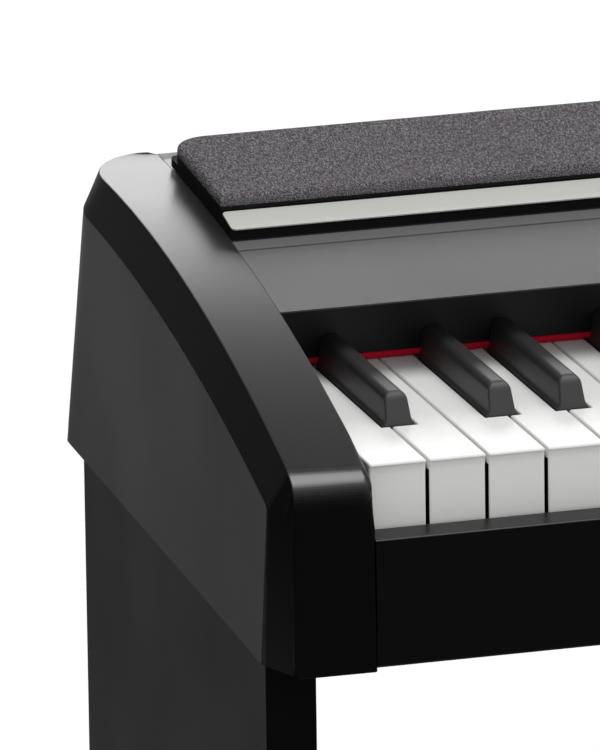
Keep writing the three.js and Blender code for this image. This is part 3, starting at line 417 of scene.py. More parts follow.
def place_piece(name, mesh, materials, body="cabinet", stands_for=(), crease_degrees=35):
    """Turns a bmesh in keyboard millimetres into a piece that rides on a CAD body."""
    shade(mesh, crease_degrees)
    bmesh.ops.transform(mesh, matrix=KEYBOARD, verts=mesh.verts)
    data = bpy.data.meshes.new(name)
    mesh.to_mesh(data)
    mesh.free()
    for material in materials:
        data.materials.append(material)
    piece = bpy.data.objects.new(name, data)
    bpy.context.scene.collection.objects.link(piece)
    weighted = piece.modifiers.new("even_shading", "WEIGHTED_NORMAL")
    weighted.keep_sharp = True
    if stands_for:
        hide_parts(*stands_for)
    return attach(piece, body)


# The cap covers the top from just inside its inner edge and wraps a little way down there. The
# other faces have a film, by how far they are turned to the front and upwards: its darker copies on
# the faces turned to the front and round the outer corner are painted shade.
FINISHES = [film, front_shade_film, cap, *highlight_fade_caps, corner_half_shade_film]
CAP_WRAP, CAP_START = 2.5, 0.02
TURNED_FRONT, BEVEL_TILT, UPRIGHT_TILT = -0.4, 0.45, 0.14


def block_finish(face):
    """The place in FINISHES of the finish that a face of the block has."""
    centre = face.calc_center_median()
    reach = abs(centre.x) - INNER_HALF
    if (CAP_START < reach < top_reach(centre.y) and centre.y > FRONT_Y + NEAR
            and centre.z > inner_top(centre.y) - CAP_WRAP):
        before = (NOSE_Y - centre.y) / NOSE_RADIUS
        roll = 0 if centre.y > nose_end else math.degrees(math.asin(before))
        passed = sum(roll > start for start, _ in NOSE_HIGHLIGHT_FADE)
        highlight_faded_out = passed == len(NOSE_HIGHLIGHT_FADE)
        return FINISHES.index(front_shade_film) if highlight_faded_out else FINISHES.index(cap) + passed
    if face.normal.y > TURNED_FRONT or face.normal.z > BEVEL_TILT:
        return FINISHES.index(film)
    return FINISHES.index(front_shade_film if face.normal.z < UPRIGHT_TILT else corner_half_shade_film)


for word, side in (("left", -1), ("right", 1)):
    cheek = skin([block_section(side, station, inset) for station, inset in block_stations()])
    for face in cheek.faces:
        face.material_index = block_finish(face)
    place_piece(word + "_cheek", cheek, FINISHES, stands_for=[word + "_end_block"])

# ---------------------------------------------------------------- front rail
# A straight bar of board under the keys, lacquered black and fitted close between the end blocks,
# with a narrow satin ledge on top that the white fronts stand over.
RAIL_HALF, RAIL_EDGE = 611.75, 0.3
FACES_UP = 0.5
# Sprayed polyester lacquer, rubbed down: the same deep black as the front of the blocks.
lacquer = press_grain(new_finish("black_polyester_lacquer", "#040404", {
    "Roughness": 0.4, "Specular IOR Level": 0.04}), spacing_mm=1.2, depth_mm=0.006)


def flatten(mesh):
    """Joins the flat faces of a solid that lie in one plane."""
    bmesh.ops.dissolve_limit(
        mesh, angle_limit=math.radians(0.3), verts=mesh.verts, edges=mesh.edges)


def cad_copy(node):
    """A CAD node's solid in keyboard millimetres, with its flat faces whole again."""
    mesh = bmesh.new()
    mesh.from_mesh(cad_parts[node].data)
    bmesh.ops.transform(mesh, matrix=KEYBOARD.inverted(), verts=mesh.verts)
    bmesh.ops.remove_doubles(mesh, verts=mesh.verts, dist=0.002)
    flatten(mesh)
    return mesh


def round_edges(mesh, width, segments=3, chosen=lambda edge: True):
    """Rounds the sharp edges of a solid, or those of them that are chosen."""
    sharp = math.radians(30)
    edges = [edge for edge in mesh.edges
             if edge.is_manifold and edge.calc_face_angle() > sharp and chosen(edge)]
    bmesh.ops.bevel(mesh, geom=edges, offset=width, offset_type="OFFSET", affect="EDGES",
                    segments=segments, profile=0.5, material=-1, clamp_overlap=True)
    return mesh


rail = cad_copy("front_rail")
for vertex in rail.verts:
    vertex.co.x = math.copysign(RAIL_HALF, vertex.co.x)
round_edges(rail, RAIL_EDGE, chosen=lambda edge: edge.calc_length() > RAIL_HALF)
for face in rail.faces:
    face.material_index = int(face.normal.z > FACES_UP)
place_piece("rail", rail, [lacquer, cap], stands_for=["front_rail"])

# ---------------------------------------------------------------- white keys
# Each is a white acrylic moulding: a flat top with a soft rounded lip over a plain front apron. Low
# on its sides and rear the faces are black, painted shade that keeps the gaps between the keys
# dark. From the second A up, the keys of each octave rock on one body.
KEY_CORNER, KEY_EDGE = 0.9, 0.8
LIP_LOW, LIP_STEP, LIP_OVERHANG = -1.25, 0.5, 0.9
LIP_ZONE, ROUNDED_TOP_REAR = 1, 210
GAP_SHADE_TOP = -4.5
FACES_ASIDE, FACES_BACK = 0.8, 0.5
WHITE_KEYS = ["key_" + note for note in ("a0", "b0", "c1", "d1", "e1", "f1", "g1")]
WHITE_KEYS += [f"white_keys_a{octave}_up" for octave in range(1, 8)]

# Acrylic from a polished mould: an even white with a soft gloss and hardly any grain.
acrylic = press_grain(new_finish("moulded_white_acrylic", "#efefed", {
    "Roughness": 0.35, "Specular IOR Level": 0.25}), spacing_mm=6, depth_mm=0.002, tone=0.006,
    polish=0.004)
# Dull black ABS low on the keys' sides and rears: painted shade that keeps the gaps between the
# keys dark.
gap_shade_core = press_grain(new_finish("black_abs_painted_gap_shade", "#0a0a0a", {
    "Roughness": 0.6, "Specular IOR Level": 0.1}), spacing_mm=1.5, depth_mm=0.01)


def cut_level(mesh, z, above_goes=False):
    """Adds a loop of edges round a solid at one height, or cuts it off there."""
    bmesh.ops.bisect_plane(mesh, geom=mesh.verts[:] + mesh.edges[:] + mesh.faces[:],
                           plane_co=(0, 0, z), plane_no=(0, 0, 1), clear_outer=above_goes)
    if above_goes:
        bmesh.ops.holes_fill(mesh, edges=mesh.edges, sides=0)


def is_front_upright(edge):
    """Whether an edge stands upright on the key's front."""
    a, b = edge.verts
    return max(a.co.y, b.co.y) < NEAR and abs(a.co.x - b.co.x) < NEAR / 10


def is_top_outline(edge):
    """Whether an edge lies round the part of the key's top that shows."""
    return (min(v.co.z for v in edge.verts) > -NEAR / 2
            and max(v.co.y for v in edge.verts) < ROUNDED_TOP_REAR)


for node in WHITE_KEYS:
    key = cad_copy(node)
    for vertex in key.verts:  # squares the front of the lip, which is rounded anew below
        if vertex.co.y < LIP_ZONE and vertex.co.z > -NEAR:
            vertex.co.y = 0
    flatten(key)
    round_edges(key, KEY_CORNER, segments=4, chosen=is_front_upright)
    round_edges(key, KEY_EDGE, segments=3, chosen=is_top_outline)
    cut_level(key, LIP_LOW)
    cut_level(key, LIP_LOW - LIP_STEP)
    cut_level(key, GAP_SHADE_TOP)
    for vertex in key.verts:  # sets the apron back under the lip
        if vertex.co.y < KEY_CORNER + NEAR and vertex.co.z < LIP_LOW - LIP_STEP / 2:
            vertex.co.y += LIP_OVERHANG
    # Side and rear faces low on the key take the black: painted shade in the gaps between the keys.
    for face in key.faces:
        deep = face.calc_center_median().z < GAP_SHADE_TOP
        side_or_rear = abs(face.normal.x) > FACES_ASIDE or face.normal.y > FACES_BACK
        face.material_index = int(deep and side_or_rear)
    place_piece(node + "_moulding", key, [acrylic, gap_shade_core], body=node, stands_for=[node])

# ---------------------------------------------------------------- black keys
# Moulded in matt black ABS: an arched top, a front that leans back and rolls over into it, and
# sides that flare to a thin foot where they meet the white keys.
BLACK_KEYS = ["key_" + note for note in ("as0", "cs1", "ds1", "fs1", "gs1")]
BLACK_KEYS += [f"black_keys_as{octave}_up" for octave in range(1, 8)]
STICK_LOW, STICK_TOP = -1.3, 12
STICK_FRONT, STICK_REAR, STICK_CORNER = 47.6, 137.4, 0.9
STICK_HALF, SIDE_SLOPE = 5.4, 0.09
FLARE, FLARE_TOP, FLARE_FADE, FOOT_HALF = 0.9, 2.2, 2, 6.2
FRONT_LEAN, LEAN_HEIGHT = 4.4, 11
ROLL_START, ROLL_LENGTH, ARCH_WIDTH = 8.8, 2.6, 2.9

# ABS with a fine matt grain from the mould: dark grey where the lamps reach it, never glossy.
matt_abs = press_grain(new_finish("moulded_matt_black_abs", "#2e2e2e", {
    "Roughness": 0.48, "Specular IOR Level": 0.5}), spacing_mm=0.8, depth_mm=0.006)


def stick_ring(centre, z):
    """The black key's outline at one height."""
    rise = max(0, z)
    turn = max(0, (z - ROLL_START) / (STICK_TOP - ROLL_START))
    round_off = 1 - math.sqrt(max(0, 1 - turn ** 2))
    flare = FLARE * max(0, (FLARE_TOP - rise) / FLARE_FADE) ** 2
    half = min(FOOT_HALF, STICK_HALF - SIDE_SLOPE * rise + flare - ARCH_WIDTH * round_off)
    front = STICK_FRONT + FRONT_LEAN * rise / LEAN_HEIGHT + ROLL_LENGTH * round_off
    corners = [(-half, front), (half, front), (half, STICK_REAR), (-half, STICK_REAR)]
    radii = [STICK_CORNER, STICK_CORNER, 0, 0]
    return [(centre + x, y, z) for x, y in round_corners(corners, radii, steps=4)]


def join_mesh(mesh, extra):
    """Adds another solid to a mesh."""
    data = bpy.data.meshes.new("joined")
    extra.to_mesh(data)
    extra.free()
    mesh.from_mesh(data)
    bpy.data.meshes.remove(data)


heights = [STICK_LOW, 0.2, 0.5, 0.9, 1.4, FLARE_TOP, 6, ROLL_START]
heights += [ROLL_START + (STICK_TOP - ROLL_START) * math.sin(math.radians(angle))
            for angle in range(15, 91, 15)]
for node in BLACK_KEYS:
    key = cad_copy(node)
    centres = [face.calc_center_median().x for face in key.faces
               if face.normal.z > 0.99 and face.calc_center_median().z > STICK_TOP - NEAR]
    cut_level(key, STICK_LOW, above_goes=True)
    for centre in centres:
        join_mesh(key, skin([stick_ring(centre, z) for z in heights]))
    place_piece(node + "_moulding", key, [matt_abs], body=node, stands_for=[node])

# ---------------------------------------------------------------- name board felt
# A thin strip of pressed red wool between the keys and the fallboard, glued along its back, with
# a soft half-round front edge and a few loose fibres.
STRIP_HALF = 611.5
FELT_BULGE, FUZZ_MM = 0.8, 0.7
SWELL_BACK_MM, SWELL_UP_MM = 1.3, 1.7
# Pressed wool, with no shine: the fibres give it lighter and darker red flecks. They are finer than
# this in real felt, and drawn coarser so that they show.
felt = new_finish("pressed_red_wool_felt", "#b81c36", {
    "Roughness": 0.95, "Specular IOR Level": 0.02})
felt_tree = felt.node_tree
felt_place = add_node(felt_tree, "ShaderNodeTexCoord").outputs["Object"]
fibres = add_node(felt_tree, "ShaderNodeTexNoise", {
    "Vector": felt_place, "Scale": 1000 / FUZZ_MM, "Detail": 4, "Roughness": 0.7})
felt_shades = add_node(felt_tree, "ShaderNodeMix", {
    "Factor": fibres.outputs[0], 6: linear("#ac0a22"), 7: linear("#e4243e")}, data_type="RGBA")
felt_fuzz = add_node(felt_tree, "ShaderNodeBump", {
    "Height": fibres.outputs[0], "Strength": 1, "Distance": 0.0002})
felt_tree.links.new(felt_shades.outputs[2], felt_tree.nodes["Principled BSDF"].inputs["Base Color"])
felt_tree.links.new(felt_fuzz.outputs[0], felt_tree.nodes["Principled BSDF"].inputs["Normal"])


def felt_ring(x, back, middle_y, low, high, swell):
    """A felt strip's section: flat at the back and below, round at the front."""
    half = (high - low) / 2
    ring = [(back, low), (middle_y, low)]
    for step in range(1, 6):
        turn = math.pi * step / 6
        ring.append((middle_y - FELT_BULGE * half * math.sin(turn),
                     (low + high) / 2 - half * math.cos(turn)))
    ring += [(middle_y, high), (back, high)]
    return [(x, y + swell * noise.noise((x / SWELL_BACK_MM, y, z)),
             z + swell * noise.noise((x / SWELL_UP_MM, z, y))) for y, z in ring]


def felt_strip(steps, **section):
    """A strip of felt from one end block to the other."""
    return skin([felt_ring(-STRIP_HALF + 2 * STRIP_HALF * step / steps, **section)
                 for step in range(steps + 1)])


name_felt = felt_strip(steps=800, back=141.2, middle_y=139.1, low=0.4, high=3.2, swell=0.12)
place_piece("name_felt_strip", name_felt, [felt], stands_for=["name_board_felt"],
            crease_degrees=60)

# ---------------------------------------------------------------- fallboard
# A plain upright sheet of black ABS behind the keys, screwed on under the panel's front edge.
# It comes semi-gloss from the mould, and so shows the keys in it as a soft blur.
well = press_grain(new_finish("semi_gloss_black_abs", "#070707", {
    "Roughness": 0.42, "Specular IOR Level": 0.25}), spacing_mm=1.4, depth_mm=0.004)
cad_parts["fallboard"].data.materials[0] = well

# ---------------------------------------------------------------- control panel and rear deck
# Two sheets of grey ABS curved to the long arc of the end blocks, with a narrow seam between them.
# The panel's front edge is a thin lip. Behind the speaker bar the deck is satin black.
PANEL_FRONT, PANEL_SUNK = 113, 0.4
SHEET_HALF, SHEET_EDGE, SHEET_TOP_ZONE = 611.77, 0.3, 1.8
LIP_THICKNESS, LIP_TOP_ZONE = 0.45, 0.5
BLACK_DECK_Y = 180
# Moulded in a spark-eroded mould, whose fine grain makes the grey even and without a reflection.
panel_abs = press_grain(new_finish("spark_grained_grey_abs", "#626262", {
    "Roughness": 0.5, "Specular IOR Level": 0.3}), spacing_mm=0.8, depth_mm=0.008, tone=0.05)


def curved_sheet(node):
    """A panel's solid, fitted close to the end blocks, with broken end edges and a front lip."""
    sheet = cad_copy(node)
    sunk = PANEL_SUNK if node == "control_panel" else 0
    for vertex in sheet.verts:
        if vertex.co.z > inner_top(vertex.co.y) - SHEET_TOP_ZONE:
            vertex.co.z = inner_top(vertex.co.y) - sunk
        if abs(vertex.co.x) > STRIP_HALF - NEAR:
            vertex.co.x = math.copysign(SHEET_HALF, vertex.co.x)
        if vertex.co.y < PANEL_FRONT + NEAR and vertex.co.z < inner_top(PANEL_FRONT) - LIP_TOP_ZONE:
            vertex.co.z = inner_top(PANEL_FRONT) - PANEL_SUNK - LIP_THICKNESS
    return round_edges(sheet, SHEET_EDGE, segments=2, chosen=lambda edge: all(
        abs(vertex.co.x) > SHEET_HALF - NEAR / 10
        and vertex.co.z > inner_top(vertex.co.y) - PANEL_SUNK - NEAR for vertex in edge.verts))


place_piece("control_panel_sheet", curved_sheet("control_panel"), [panel_abs],
            stands_for=["control_panel"])
deck = curved_sheet("rear_deck")
for face in deck.faces:
    face.material_index = int(face.calc_center_median().y > BLACK_DECK_Y)
place_piece("rear_deck_sheet", deck, [panel_abs, cap], stands_for=["rear_deck"])

# ---------------------------------------------------------------- buttons, power switch and knob
# Moulded caps in satin ABS with softened edges. The knob is ribbed for grip, dished on top, and
# has a painted white pointer.
CONTROL_Y = 154
BUTTON_EDGE = 0.5
KNOB_X, KNOB_TOP = -330, 12.3
RIBS, RIB_DEPTH, STEPS_PER_RIB = 36, 0.45, 4
rise = inner_top(CONTROL_Y + 5) - inner_top(CONTROL_Y - 5)
panel_tilt = Matrix.Rotation(math.atan(rise / 10), 4, "X")

# ABS from a fine satin mould: a small soft highlight on each cap.
satin_abs = press_grain(new_finish("moulded_satin_black_abs", "#1a1a1a", {
    "Roughness": 0.38, "Specular IOR Level": 0.4}), spacing_mm=0.8, depth_mm=0.005)
# Pad-printed ink, nearly flat white.
pointer_paint = press_grain(new_finish("white_pad_printed_ink", "#e6e6e2", {
    "Roughness": 0.5}), spacing_mm=1, depth_mm=0.004, tone=0.02)

for number in range(1, 7):
    node = f"function_button_{number}"
    button = round_edges(cad_copy(node), BUTTON_EDGE)
    place_piece(node + "_cap", button, [satin_abs], body=node, stands_for=[node])
power = round_edges(cad_copy("power_button"), BUTTON_EDGE,
                    chosen=lambda edge: edge.calc_length() < 3)
place_piece("power_switch_cap", power, [satin_abs], body="power_button",
            stands_for=["power_button"])


def knob_ring(z, radius, ribbed):
    """One ring round the knob, with its ribs where it has them."""
    points = []
    for step in range(RIBS * STEPS_PER_RIB):
        turn = 2 * math.pi * step / (RIBS * STEPS_PER_RIB)
        reach = radius - (RIB_DEPTH * (0.5 + 0.5 * math.cos(RIBS * turn)) if ribbed else 0)
        points.append((reach * math.cos(turn), reach * math.sin(turn), z))
    return points


KNOB_RINGS = [  # height, radius, ribbed: the shaft, the ribbed skirt and the dished top
    (-8, 3, False), (0.3, 3, False), (0.3, 8.7, False),
    (0.8, 9, True), (11, 8.1, True), (11.8, 7.7, True),
    (KNOB_TOP, 7, False), (KNOB_TOP, 6.6, False), (KNOB_TOP - 0.5, 5.8, False),
]
POINTER_PLACE, POINTER_SIZE, POINTER_EDGE = (0, 5.2, KNOB_TOP - 0.2), (0.9, 3.6, 0.5), 0.15
knob = skin([knob_ring(*ring) for ring in KNOB_RINGS])
pointer = bmesh.new()
bmesh.ops.create_cube(pointer, size=1, matrix=Matrix.Translation(POINTER_PLACE)
                      @ Matrix.Diagonal((*POINTER_SIZE, 1)))
round_edges(pointer, POINTER_EDGE)
for face in pointer.faces:
    face.material_index = 1
join_mesh(knob, pointer)
knob_place = Matrix.Translation((KNOB_X, CONTROL_Y, inner_top(CONTROL_Y)))
bmesh.ops.transform(knob, verts=knob.verts, matrix=knob_place @ panel_tilt)
place_piece("ribbed_knob", knob, [satin_abs, pointer_paint], body="volume_knob",
            stands_for=["volume_knob"])

# ---------------------------------------------------------------- speaker bar
# A moulded black bar that carries the speakers under the grille, rough and dull along its edges.
# The cloth's frame of dense black foam stands on it, with its rear corners cut round; its black
# walls are also painted shade on the pad's front and ends.
CLOTH_FRONT, CLOTH_REAR = 193.5, 267
BAFFLE_Z, BAFFLE_SLOPE, CLEARANCE = 49.8, 0.055, 0.02
CLOTH_Z, CLOTH_SLOPE, CLOTH_THICKNESS = 54.9, 0.088, 0.8
GRILLE_CORNER, FOAM_EDGE = 14, 2.8
# ABS from a rough mould: dull, so that the strips beside the silver plate stay black.
bar_black = press_grain(new_finish("rough_moulded_black_abs", "#0f0f0f", {
    "Roughness": 0.7, "Specular IOR Level": 0.08}), spacing_mm=1.2, depth_mm=0.03)
# Cut black foam, dull; on the pad's front and end walls its black also stands in for the shade that
# falls there.
foam = press_grain(new_finish("black_foam_and_painted_shade", "#1a1a1b", {
    "Roughness": 0.95, "Specular IOR Level": 0.1}), spacing_mm=1.1, depth_mm=0.12, tone=0.5)
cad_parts["speaker_bar"].data.materials[0] = bar_black


def baffle(y):
    """Height of the bar's top, which the foam stands on."""
    return BAFFLE_Z + (y - CLOTH_FRONT) * BAFFLE_SLOPE


def cloth_top(y):
    """Height of the cloth over the bar."""
    return CLOTH_Z + (y - CLOTH_FRONT) * CLOTH_SLOPE


def grille_rear(x):
    """How far back the grille reaches, less at its round corners."""
    corner = max(0, GRILLE_CORNER - (STRIP_HALF - abs(x)))
    return CLOTH_REAR - GRILLE_CORNER + math.sqrt(GRILLE_CORNER ** 2 - corner ** 2)


def edge_drop(distance, radius):
    """How far a rounded edge has fallen at this distance in from it."""
    short = max(0, 1 - distance / radius)
    return radius * (1 - math.sqrt(1 - short ** 2))


def across_grille(x, fine, radius):
    """Places from the front of the grille to the rear, closest together over its rounded edges."""
    rear = grille_rear(x)
    edge = [share * radius for share in (0, 0.08, 0.3, 0.65, 1.1)]
    flat = rear - CLOTH_FRONT - 2 * edge[-1]
    middle = [CLOTH_FRONT + edge[-1] + flat * step / fine for step in range(1, fine)]
    return [CLOTH_FRONT + e for e in edge] + middle + [rear - e for e in reversed(edge)]


def foam_ring(x):
    """The frame's section: upright walls with a small round at the top."""
    rear = grille_rear(x)
    ring = [(x, y, baffle(y) + CLEARANCE) for y in (rear, CLOTH_FRONT)]
    for y in across_grille(x, 4, FOAM_EDGE):
        distance = min(y - CLOTH_FRONT, rear - y, STRIP_HALF - abs(x))
        ring.append((x, y, cloth_top(y) - CLOTH_THICKNESS - edge_drop(distance, FOAM_EDGE)))
    return ring


def from_both_ends(steps):
    """Places across the piano at these distances in from each end of the grille."""
    return [-STRIP_HALF + step for step in steps] + [STRIP_HALF - step for step in reversed(steps)]


foam_steps = [0, 0.1, 0.4, 0.8, 1.3, 2.5, 4, 6, 8.5, 11, GRILLE_CORNER]
foam_frame = skin([foam_ring(x) for x in from_both_ends(foam_steps)])
foam_piece = place_piece("grille_foam_frame", foam_frame, [foam])

# ---------------------------------------------------------------- grille cloth
# Brushed knitted polyester, drawn over the frame and cut along its edges, where single fibres
# stand out. Light and dark yarns are mixed in it, which gives a fine speckle.
CLOTH_EDGE = 3
FRAY_WIDTH, FRAY_MM, FRAY_DEPTH = 2.5, 1.1, 0.05
SLACK_DEPTH, SLACK_ACROSS, SLACK_ALONG, SLACK_SEED = 0.2, 45, 30, 3
GRILLE_MIDDLE_Y = 230
YARN_MM, YARN_RUN_MM = 0.36, 1.7
DYE_PATCHES_PER_METRE = 55
# Matt yarn, a little coarser than the real one so that the speckle shows. A second dye drifts
# through it in reddish patches, and the nap lifts the yarns only a hair's breadth.
cloth = new_finish("knitted_polyester_grille_cloth", "#5a575c", {
    "Roughness": 0.95, "Specular IOR Level": 0.15, "Sheen Weight": 0.08})
cloth_tree = cloth.node_tree
cloth_place = add_node(cloth_tree, "ShaderNodeTexCoord").outputs["Object"]
yarn_run = add_node(cloth_tree, "ShaderNodeMapping", {
    "Vector": cloth_place, "Scale": (1000 / YARN_MM, 1000 / YARN_RUN_MM, 1000 / YARN_MM)})
yarn = add_node(cloth_tree, "ShaderNodeTexNoise", {
    "Vector": yarn_run.outputs[0], "Scale": 0.8, "Detail": 1, "Roughness": 0.5})
yarn_shades = add_node(cloth_tree, "ShaderNodeMapRange", {
    "Value": yarn.outputs[0], "From Min": 0.42, "From Max": 0.9})
speckle = add_node(cloth_tree, "ShaderNodeMix", {
    "Factor": yarn_shades.outputs[0], 6: linear("#343135"), 7: linear("#a4a1a5")}, data_type="RGBA")
dye_drift = add_node(cloth_tree, "ShaderNodeTexNoise", {
    "Vector": cloth_place, "Scale": DYE_PATCHES_PER_METRE, "Detail": 2})
dye_amount = add_node(cloth_tree, "ShaderNodeMapRange", {
    "Value": dye_drift.outputs[0], "From Min": 0.5, "From Max": 0.75, "To Max": 0.22})
dyed = add_node(cloth_tree, "ShaderNodeMix", {
    "Factor": dye_amount.outputs[0], 6: speckle.outputs[2], 7: linear("#5c444e")}, data_type="RGBA")
nap = add_node(cloth_tree, "ShaderNodeBump", {
    "Height": yarn.outputs[0], "Strength": 1, "Distance": 0.00008})
cloth_tree.links.new(dyed.outputs[2], cloth_tree.nodes["Principled BSDF"].inputs["Base Color"])
cloth_tree.links.new(nap.outputs[0], cloth_tree.nodes["Principled BSDF"].inputs["Normal"])


def cloth_ring(x):
    """The cloth's section: a thin sheet turned down over the frame's edges, with loose fibres."""
    upper = []
    for y in across_grille(x, 9, CLOTH_EDGE):
        distance = min(y - CLOTH_FRONT, grille_rear(x) - y, STRIP_HALF - abs(x))
        loose = max(0, 1 - distance / FRAY_WIDTH)
        fray = noise.noise((x / FRAY_MM, y / FRAY_MM, 0)) * loose
        wave = noise.noise((x / SLACK_ACROSS, y / SLACK_ALONG, SLACK_SEED))
        slack = SLACK_DEPTH * wave * (1 - loose)
        z = cloth_top(y) - edge_drop(distance, CLOTH_EDGE) + slack - FRAY_DEPTH * abs(fray)
        inwards = 1 if y < GRILLE_MIDDLE_Y else -1
        upper.append((x, y + FRAY_DEPTH * max(0, fray) * inwards, z))
    return upper + [(x, y, z - CLOTH_THICKNESS) for x, y, z in reversed(upper)]


# Sections close together over the ends, then at an even spacing that carries the loose fibres.
cloth_steps = [0, 0.12, 0.45, 1, 1.65] + [2.4 + 1.3 * step for step in range(470)]
cloth_steps = [step for step in cloth_steps if step < STRIP_HALF]
cloth_sheet = skin([cloth_ring(x) for x in from_both_ends(cloth_steps)])
cloth_piece = place_piece("grille_cloth_sheet", cloth_sheet, [cloth],
                          stands_for=["grille_cloth"], crease_degrees=80)

# ---------------------------------------------------------------- silver strip
# A thin aluminium plate along the front of the bar, with rounded corners, painted silver and held
# on with tape.
TRIM_FRONT, TRIM_REAR = (178.2, 46.1), (192.6, 49.5)
TRIM_THICKNESS, TRIM_CORNER, TRIM_EDGE = 0.7, 2, 0.15
STROKES_PER_METRE = (30, 2500, 2500)
# Silver paint over brushed metal: pale and even, with faint strokes along it.
silver = new_finish("silver_painted_aluminium", "#c6c6c1", {
    "Roughness": 0.42, "Metallic": 0.25, "Specular IOR Level": 0.4})
silver_tree = silver.node_tree
silver_place = add_node(silver_tree, "ShaderNodeTexCoord").outputs["Object"]
brushing = add_node(silver_tree, "ShaderNodeMapping", {
    "Vector": silver_place, "Scale": STROKES_PER_METRE})
strokes = add_node(silver_tree, "ShaderNodeTexNoise", {
    "Vector": brushing.outputs[0], "Scale": 1, "Detail": 3})
silver_shades = add_node(silver_tree, "ShaderNodeMix", {
    "Factor": strokes.outputs[0], 6: linear("#c9c9c4"), 7: linear("#d3d3ce")}, data_type="RGBA")
silver_polish = add_node(silver_tree, "ShaderNodeMapRange", {
    "Value": strokes.outputs[0], "To Min": 0.38, "To Max": 0.46})
stroke_bump = add_node(silver_tree, "ShaderNodeBump", {
    "Height": strokes.outputs[0], "Strength": 0.5, "Distance": 0.00001})
silver_shader = silver_tree.nodes["Principled BSDF"]
silver_tree.links.new(silver_shades.outputs[2], silver_shader.inputs["Base Color"])
silver_tree.links.new(silver_polish.outputs[0], silver_shader.inputs["Roughness"])
silver_tree.links.new(stroke_bump.outputs[0], silver_shader.inputs["Normal"])

trim_back, trim_rise = TRIM_REAR[0] - TRIM_FRONT[0], TRIM_REAR[1] - TRIM_FRONT[1]
trim_width = math.hypot(trim_back, trim_rise)
trim_angle = math.atan2(trim_rise, trim_back)
outline = round_corners([(-STRIP_HALF, 0), (STRIP_HALF, 0), (STRIP_HALF, trim_width),
                         (-STRIP_HALF, trim_width)], [TRIM_CORNER] * 4, steps=6)
strip = bmesh.new()
bmesh.ops.contextual_create(strip, geom=[strip.verts.new((x, y, 0)) for x, y in outline])
deepened = bmesh.ops.extrude_face_region(strip, geom=strip.faces[:])["geom"]
lower = [item for item in deepened if isinstance(item, bmesh.types.BMVert)]
bmesh.ops.translate(strip, vec=(0, 0, -TRIM_THICKNESS), verts=lower)
bmesh.ops.recalc_face_normals(strip, faces=strip.faces)
round_edges(strip, TRIM_EDGE, segments=2)
bmesh.ops.transform(strip, verts=strip.verts, matrix=Matrix.Translation((0, *TRIM_FRONT))
                    @ Matrix.Rotation(trim_angle, 4, "X"))
place_piece("silver_strip", strip, [silver], stands_for=["silver_trim"])

# ---------------------------------------------------------------- speakers
# Pressed paper cones on steel baskets, screwed to the bar, face up under the cloth. The pulp shows
# as a dull, uneven near-black.
paper = press_grain(new_finish("pressed_paper_cone", "#1c1c1e", {
    "Roughness": 0.9}), spacing_mm=1.5, depth_mm=0.05, tone=0.25)
for node in ("left_speaker", "right_speaker"):
    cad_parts[node].data.materials[0] = paper

# ---------------------------------------------------------------- rear panel and sockets
# A sheet of black vinyl-faced board, screwed on behind. The sockets sit in a moulded plate, each
# in a plated ring.
SCREW_XS, SCREW_Y, SCREW_Z = (-560, -400, -200, 0, 200, 400, 560), REAR_Y - 0.3, -55
SOCKET_XS, SOCKET_Y, SOCKET_Z = (-345, -315), REAR_Y - 0.8, -10
SCREW_RADIUS, SOCKET_HOLE = 3.4, 3.3
PANEL_EDGE, PLATE_EDGE = 0.4, 0.25
TURNED_STEPS = 32
# Printed vinyl with a pressed grain over the board, dark and almost without gloss.
vinyl = press_grain(new_finish("black_vinyl_on_particle_board", "#0d0d0d", {
    "Roughness": 0.45, "Specular IOR Level": 0.012}), spacing_mm=1.6, depth_mm=0.012, tone=0.2)
# Bright nickel over steel, for the screws and the socket rings.
plated = press_grain(new_finish("nickel_plated_steel", "#b4b4b0", {
    "Roughness": 0.28, "Metallic": 1}), spacing_mm=2, depth_mm=0.003, tone=0.05)

place_piece("rear_panel_board", round_edges(cad_copy("rear_panel"), PANEL_EDGE), [vinyl],
            stands_for=["rear_panel"])
plate = round_edges(cad_copy("jack_plate"), PLATE_EDGE,
                    chosen=lambda edge: edge.calc_length() > 10)
place_piece("socket_plate", plate, [satin_abs], stands_for=["jack_plate"])


def turned(profile, place):
    """A ring or screw head: a section of radii and heights, spun and set upright on the rear."""
    mesh = bmesh.new()
    points = [mesh.verts.new((r, 0, h)) for r, h in profile]
    edges = [mesh.edges.new(pair) for pair in zip(points, points[1:] + points[:1])]
    bmesh.ops.spin(mesh, geom=points + edges, cent=(0, 0, 0), axis=(0, 0, 1), angle=2 * math.pi,
                   steps=TURNED_STEPS, use_merge=True)
    bmesh.ops.remove_doubles(mesh, verts=mesh.verts, dist=0.001)
    bmesh.ops.recalc_face_normals(mesh, faces=mesh.faces)
    turn = Vector((0, 1, 0)).to_track_quat("Z", "Y").to_matrix().to_4x4()
    bmesh.ops.transform(mesh, matrix=Matrix.Translation(place) @ turn, verts=mesh.verts)
    return mesh


SCREW_HEAD = [(1.5, 0.05), (SCREW_RADIUS, 0.05), (SCREW_RADIUS - 0.3, 0.1),
              (2.2, 0.24), (1.7, 0.26), (1.5, 0.2)]
SOCKET_RING = [(SOCKET_HOLE, 0), (SOCKET_HOLE + 2.2, 0), (SOCKET_HOLE + 2.2, 0.3),
               (SOCKET_HOLE + 1.8, 0.45), (SOCKET_HOLE + 0.4, 0.45), (SOCKET_HOLE, 0.2)]
rear_fittings = bmesh.new()
for x in SCREW_XS:
    join_mesh(rear_fittings, turned(SCREW_HEAD, (x, SCREW_Y, SCREW_Z)))
for x in SOCKET_XS:
    join_mesh(rear_fittings, turned(SOCKET_RING, (x, SOCKET_Y, SOCKET_Z)))
place_piece("rear_screws_and_socket_rings", rear_fittings, [plated])

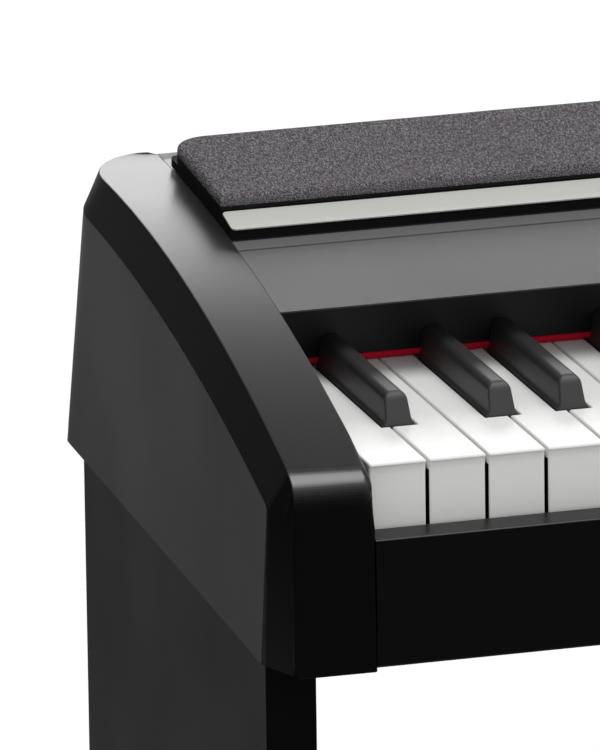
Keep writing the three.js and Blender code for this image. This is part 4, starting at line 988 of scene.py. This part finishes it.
# ---------------------------------------------------------------- headphone box
# A small moulded ABS box screwed under the bass end, with two sockets in its front, each in a
# plated ring.
BOX_EDGE = 0.8
PHONES_XS, PHONES_Y, PHONES_Z = (-379, -351), 3.9, underside(4) - 11
PHONES_RING = [(3.3, 0.3), (5.2, 0.3), (5.2, -0.05), (3.3, -0.05)]
box = round_edges(cad_copy("headphone_box"), BOX_EDGE,
                  chosen=lambda edge: edge.calc_length() > 3)
place_piece("headphone_socket_box", box, [satin_abs], stands_for=["headphone_box"])
phones_rings = bmesh.new()
for x in PHONES_XS:
    join_mesh(phones_rings, turned(PHONES_RING, (x, PHONES_Y, PHONES_Z)))
place_piece("headphone_socket_rings", phones_rings, [plated])

# ---------------------------------------------------------------- key frame, board and stop felt
# Inside the cabinet: a pressed zinc-plated frame under the keys, the felt they come to rest on,
# and the green circuit board behind them.
STOP_ROUND, TRACKS_PER_METRE = 1.6, 90
# Zinc plating, passivated: cloudy grey with large spangles.
zinc = press_grain(new_finish("zinc_plated_steel", "#9a9c9e", {
    "Roughness": 0.4, "Metallic": 0.9}), spacing_mm=7, depth_mm=0.005, tone=0.12)
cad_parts["key_chassis"].data.materials[0] = zinc
stop_low, stop_high = [KEYBOARD.inverted() @ Vector(corner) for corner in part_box("key_stop_felt")]
stop_felt = felt_strip(steps=200, back=stop_high.y, middle_y=stop_low.y + STOP_ROUND,
                       low=stop_low.z, high=stop_high.z, swell=0.1)
stop_piece = place_piece("key_rest_felt", stop_felt, [felt], stands_for=["key_stop_felt"],
                         crease_degrees=60)

# Solder mask over copper: glossy green, paler along the tracks.
board = new_finish("green_solder_mask_on_glass_epoxy", "#1f5c35", {"Roughness": 0.35})
board_tree = board.node_tree
board_place = add_node(board_tree, "ShaderNodeTexCoord").outputs["Object"]
tracks = add_node(board_tree, "ShaderNodeTexBrick", {
    "Vector": board_place, "Color1": linear("#1f5c35"), "Color2": linear("#24683d"),
    "Mortar": linear("#3c8552"), "Scale": TRACKS_PER_METRE, "Mortar Size": 0.03})
track_bump = add_node(board_tree, "ShaderNodeBump", {
    "Height": tracks.outputs["Fac"], "Strength": 0.4, "Distance": 0.00005})
board_shader = board_tree.nodes["Principled BSDF"]
board_tree.links.new(tracks.outputs["Color"], board_shader.inputs["Base Color"])
board_tree.links.new(track_bump.outputs[0], board_shader.inputs["Normal"])
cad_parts["main_board"].data.materials[0] = board

# ---------------------------------------------------------------- stand
# Boards of particle board wrapped in black vinyl, their edges just broken. Flat side panels stand
# on solid feet, and a board across the back keeps them upright.
BOARD_EDGE = 0.8
BOARDS = ["left_leg", "right_leg", "left_foot", "right_foot", "back_board", "bottom_board"]
for node in BOARDS:
    place_piece(node + "_wrapped", round_edges(cad_copy(node), BOARD_EDGE), [vinyl],
                stands_for=[node])

# ---------------------------------------------------------------- brackets
# Pressed steel angles between the legs and the body, zinc-plated like the key frame, with their
# bolts and hand screws.
for node in ("left_bracket", "right_bracket"):
    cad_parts[node].data.materials[0] = zinc
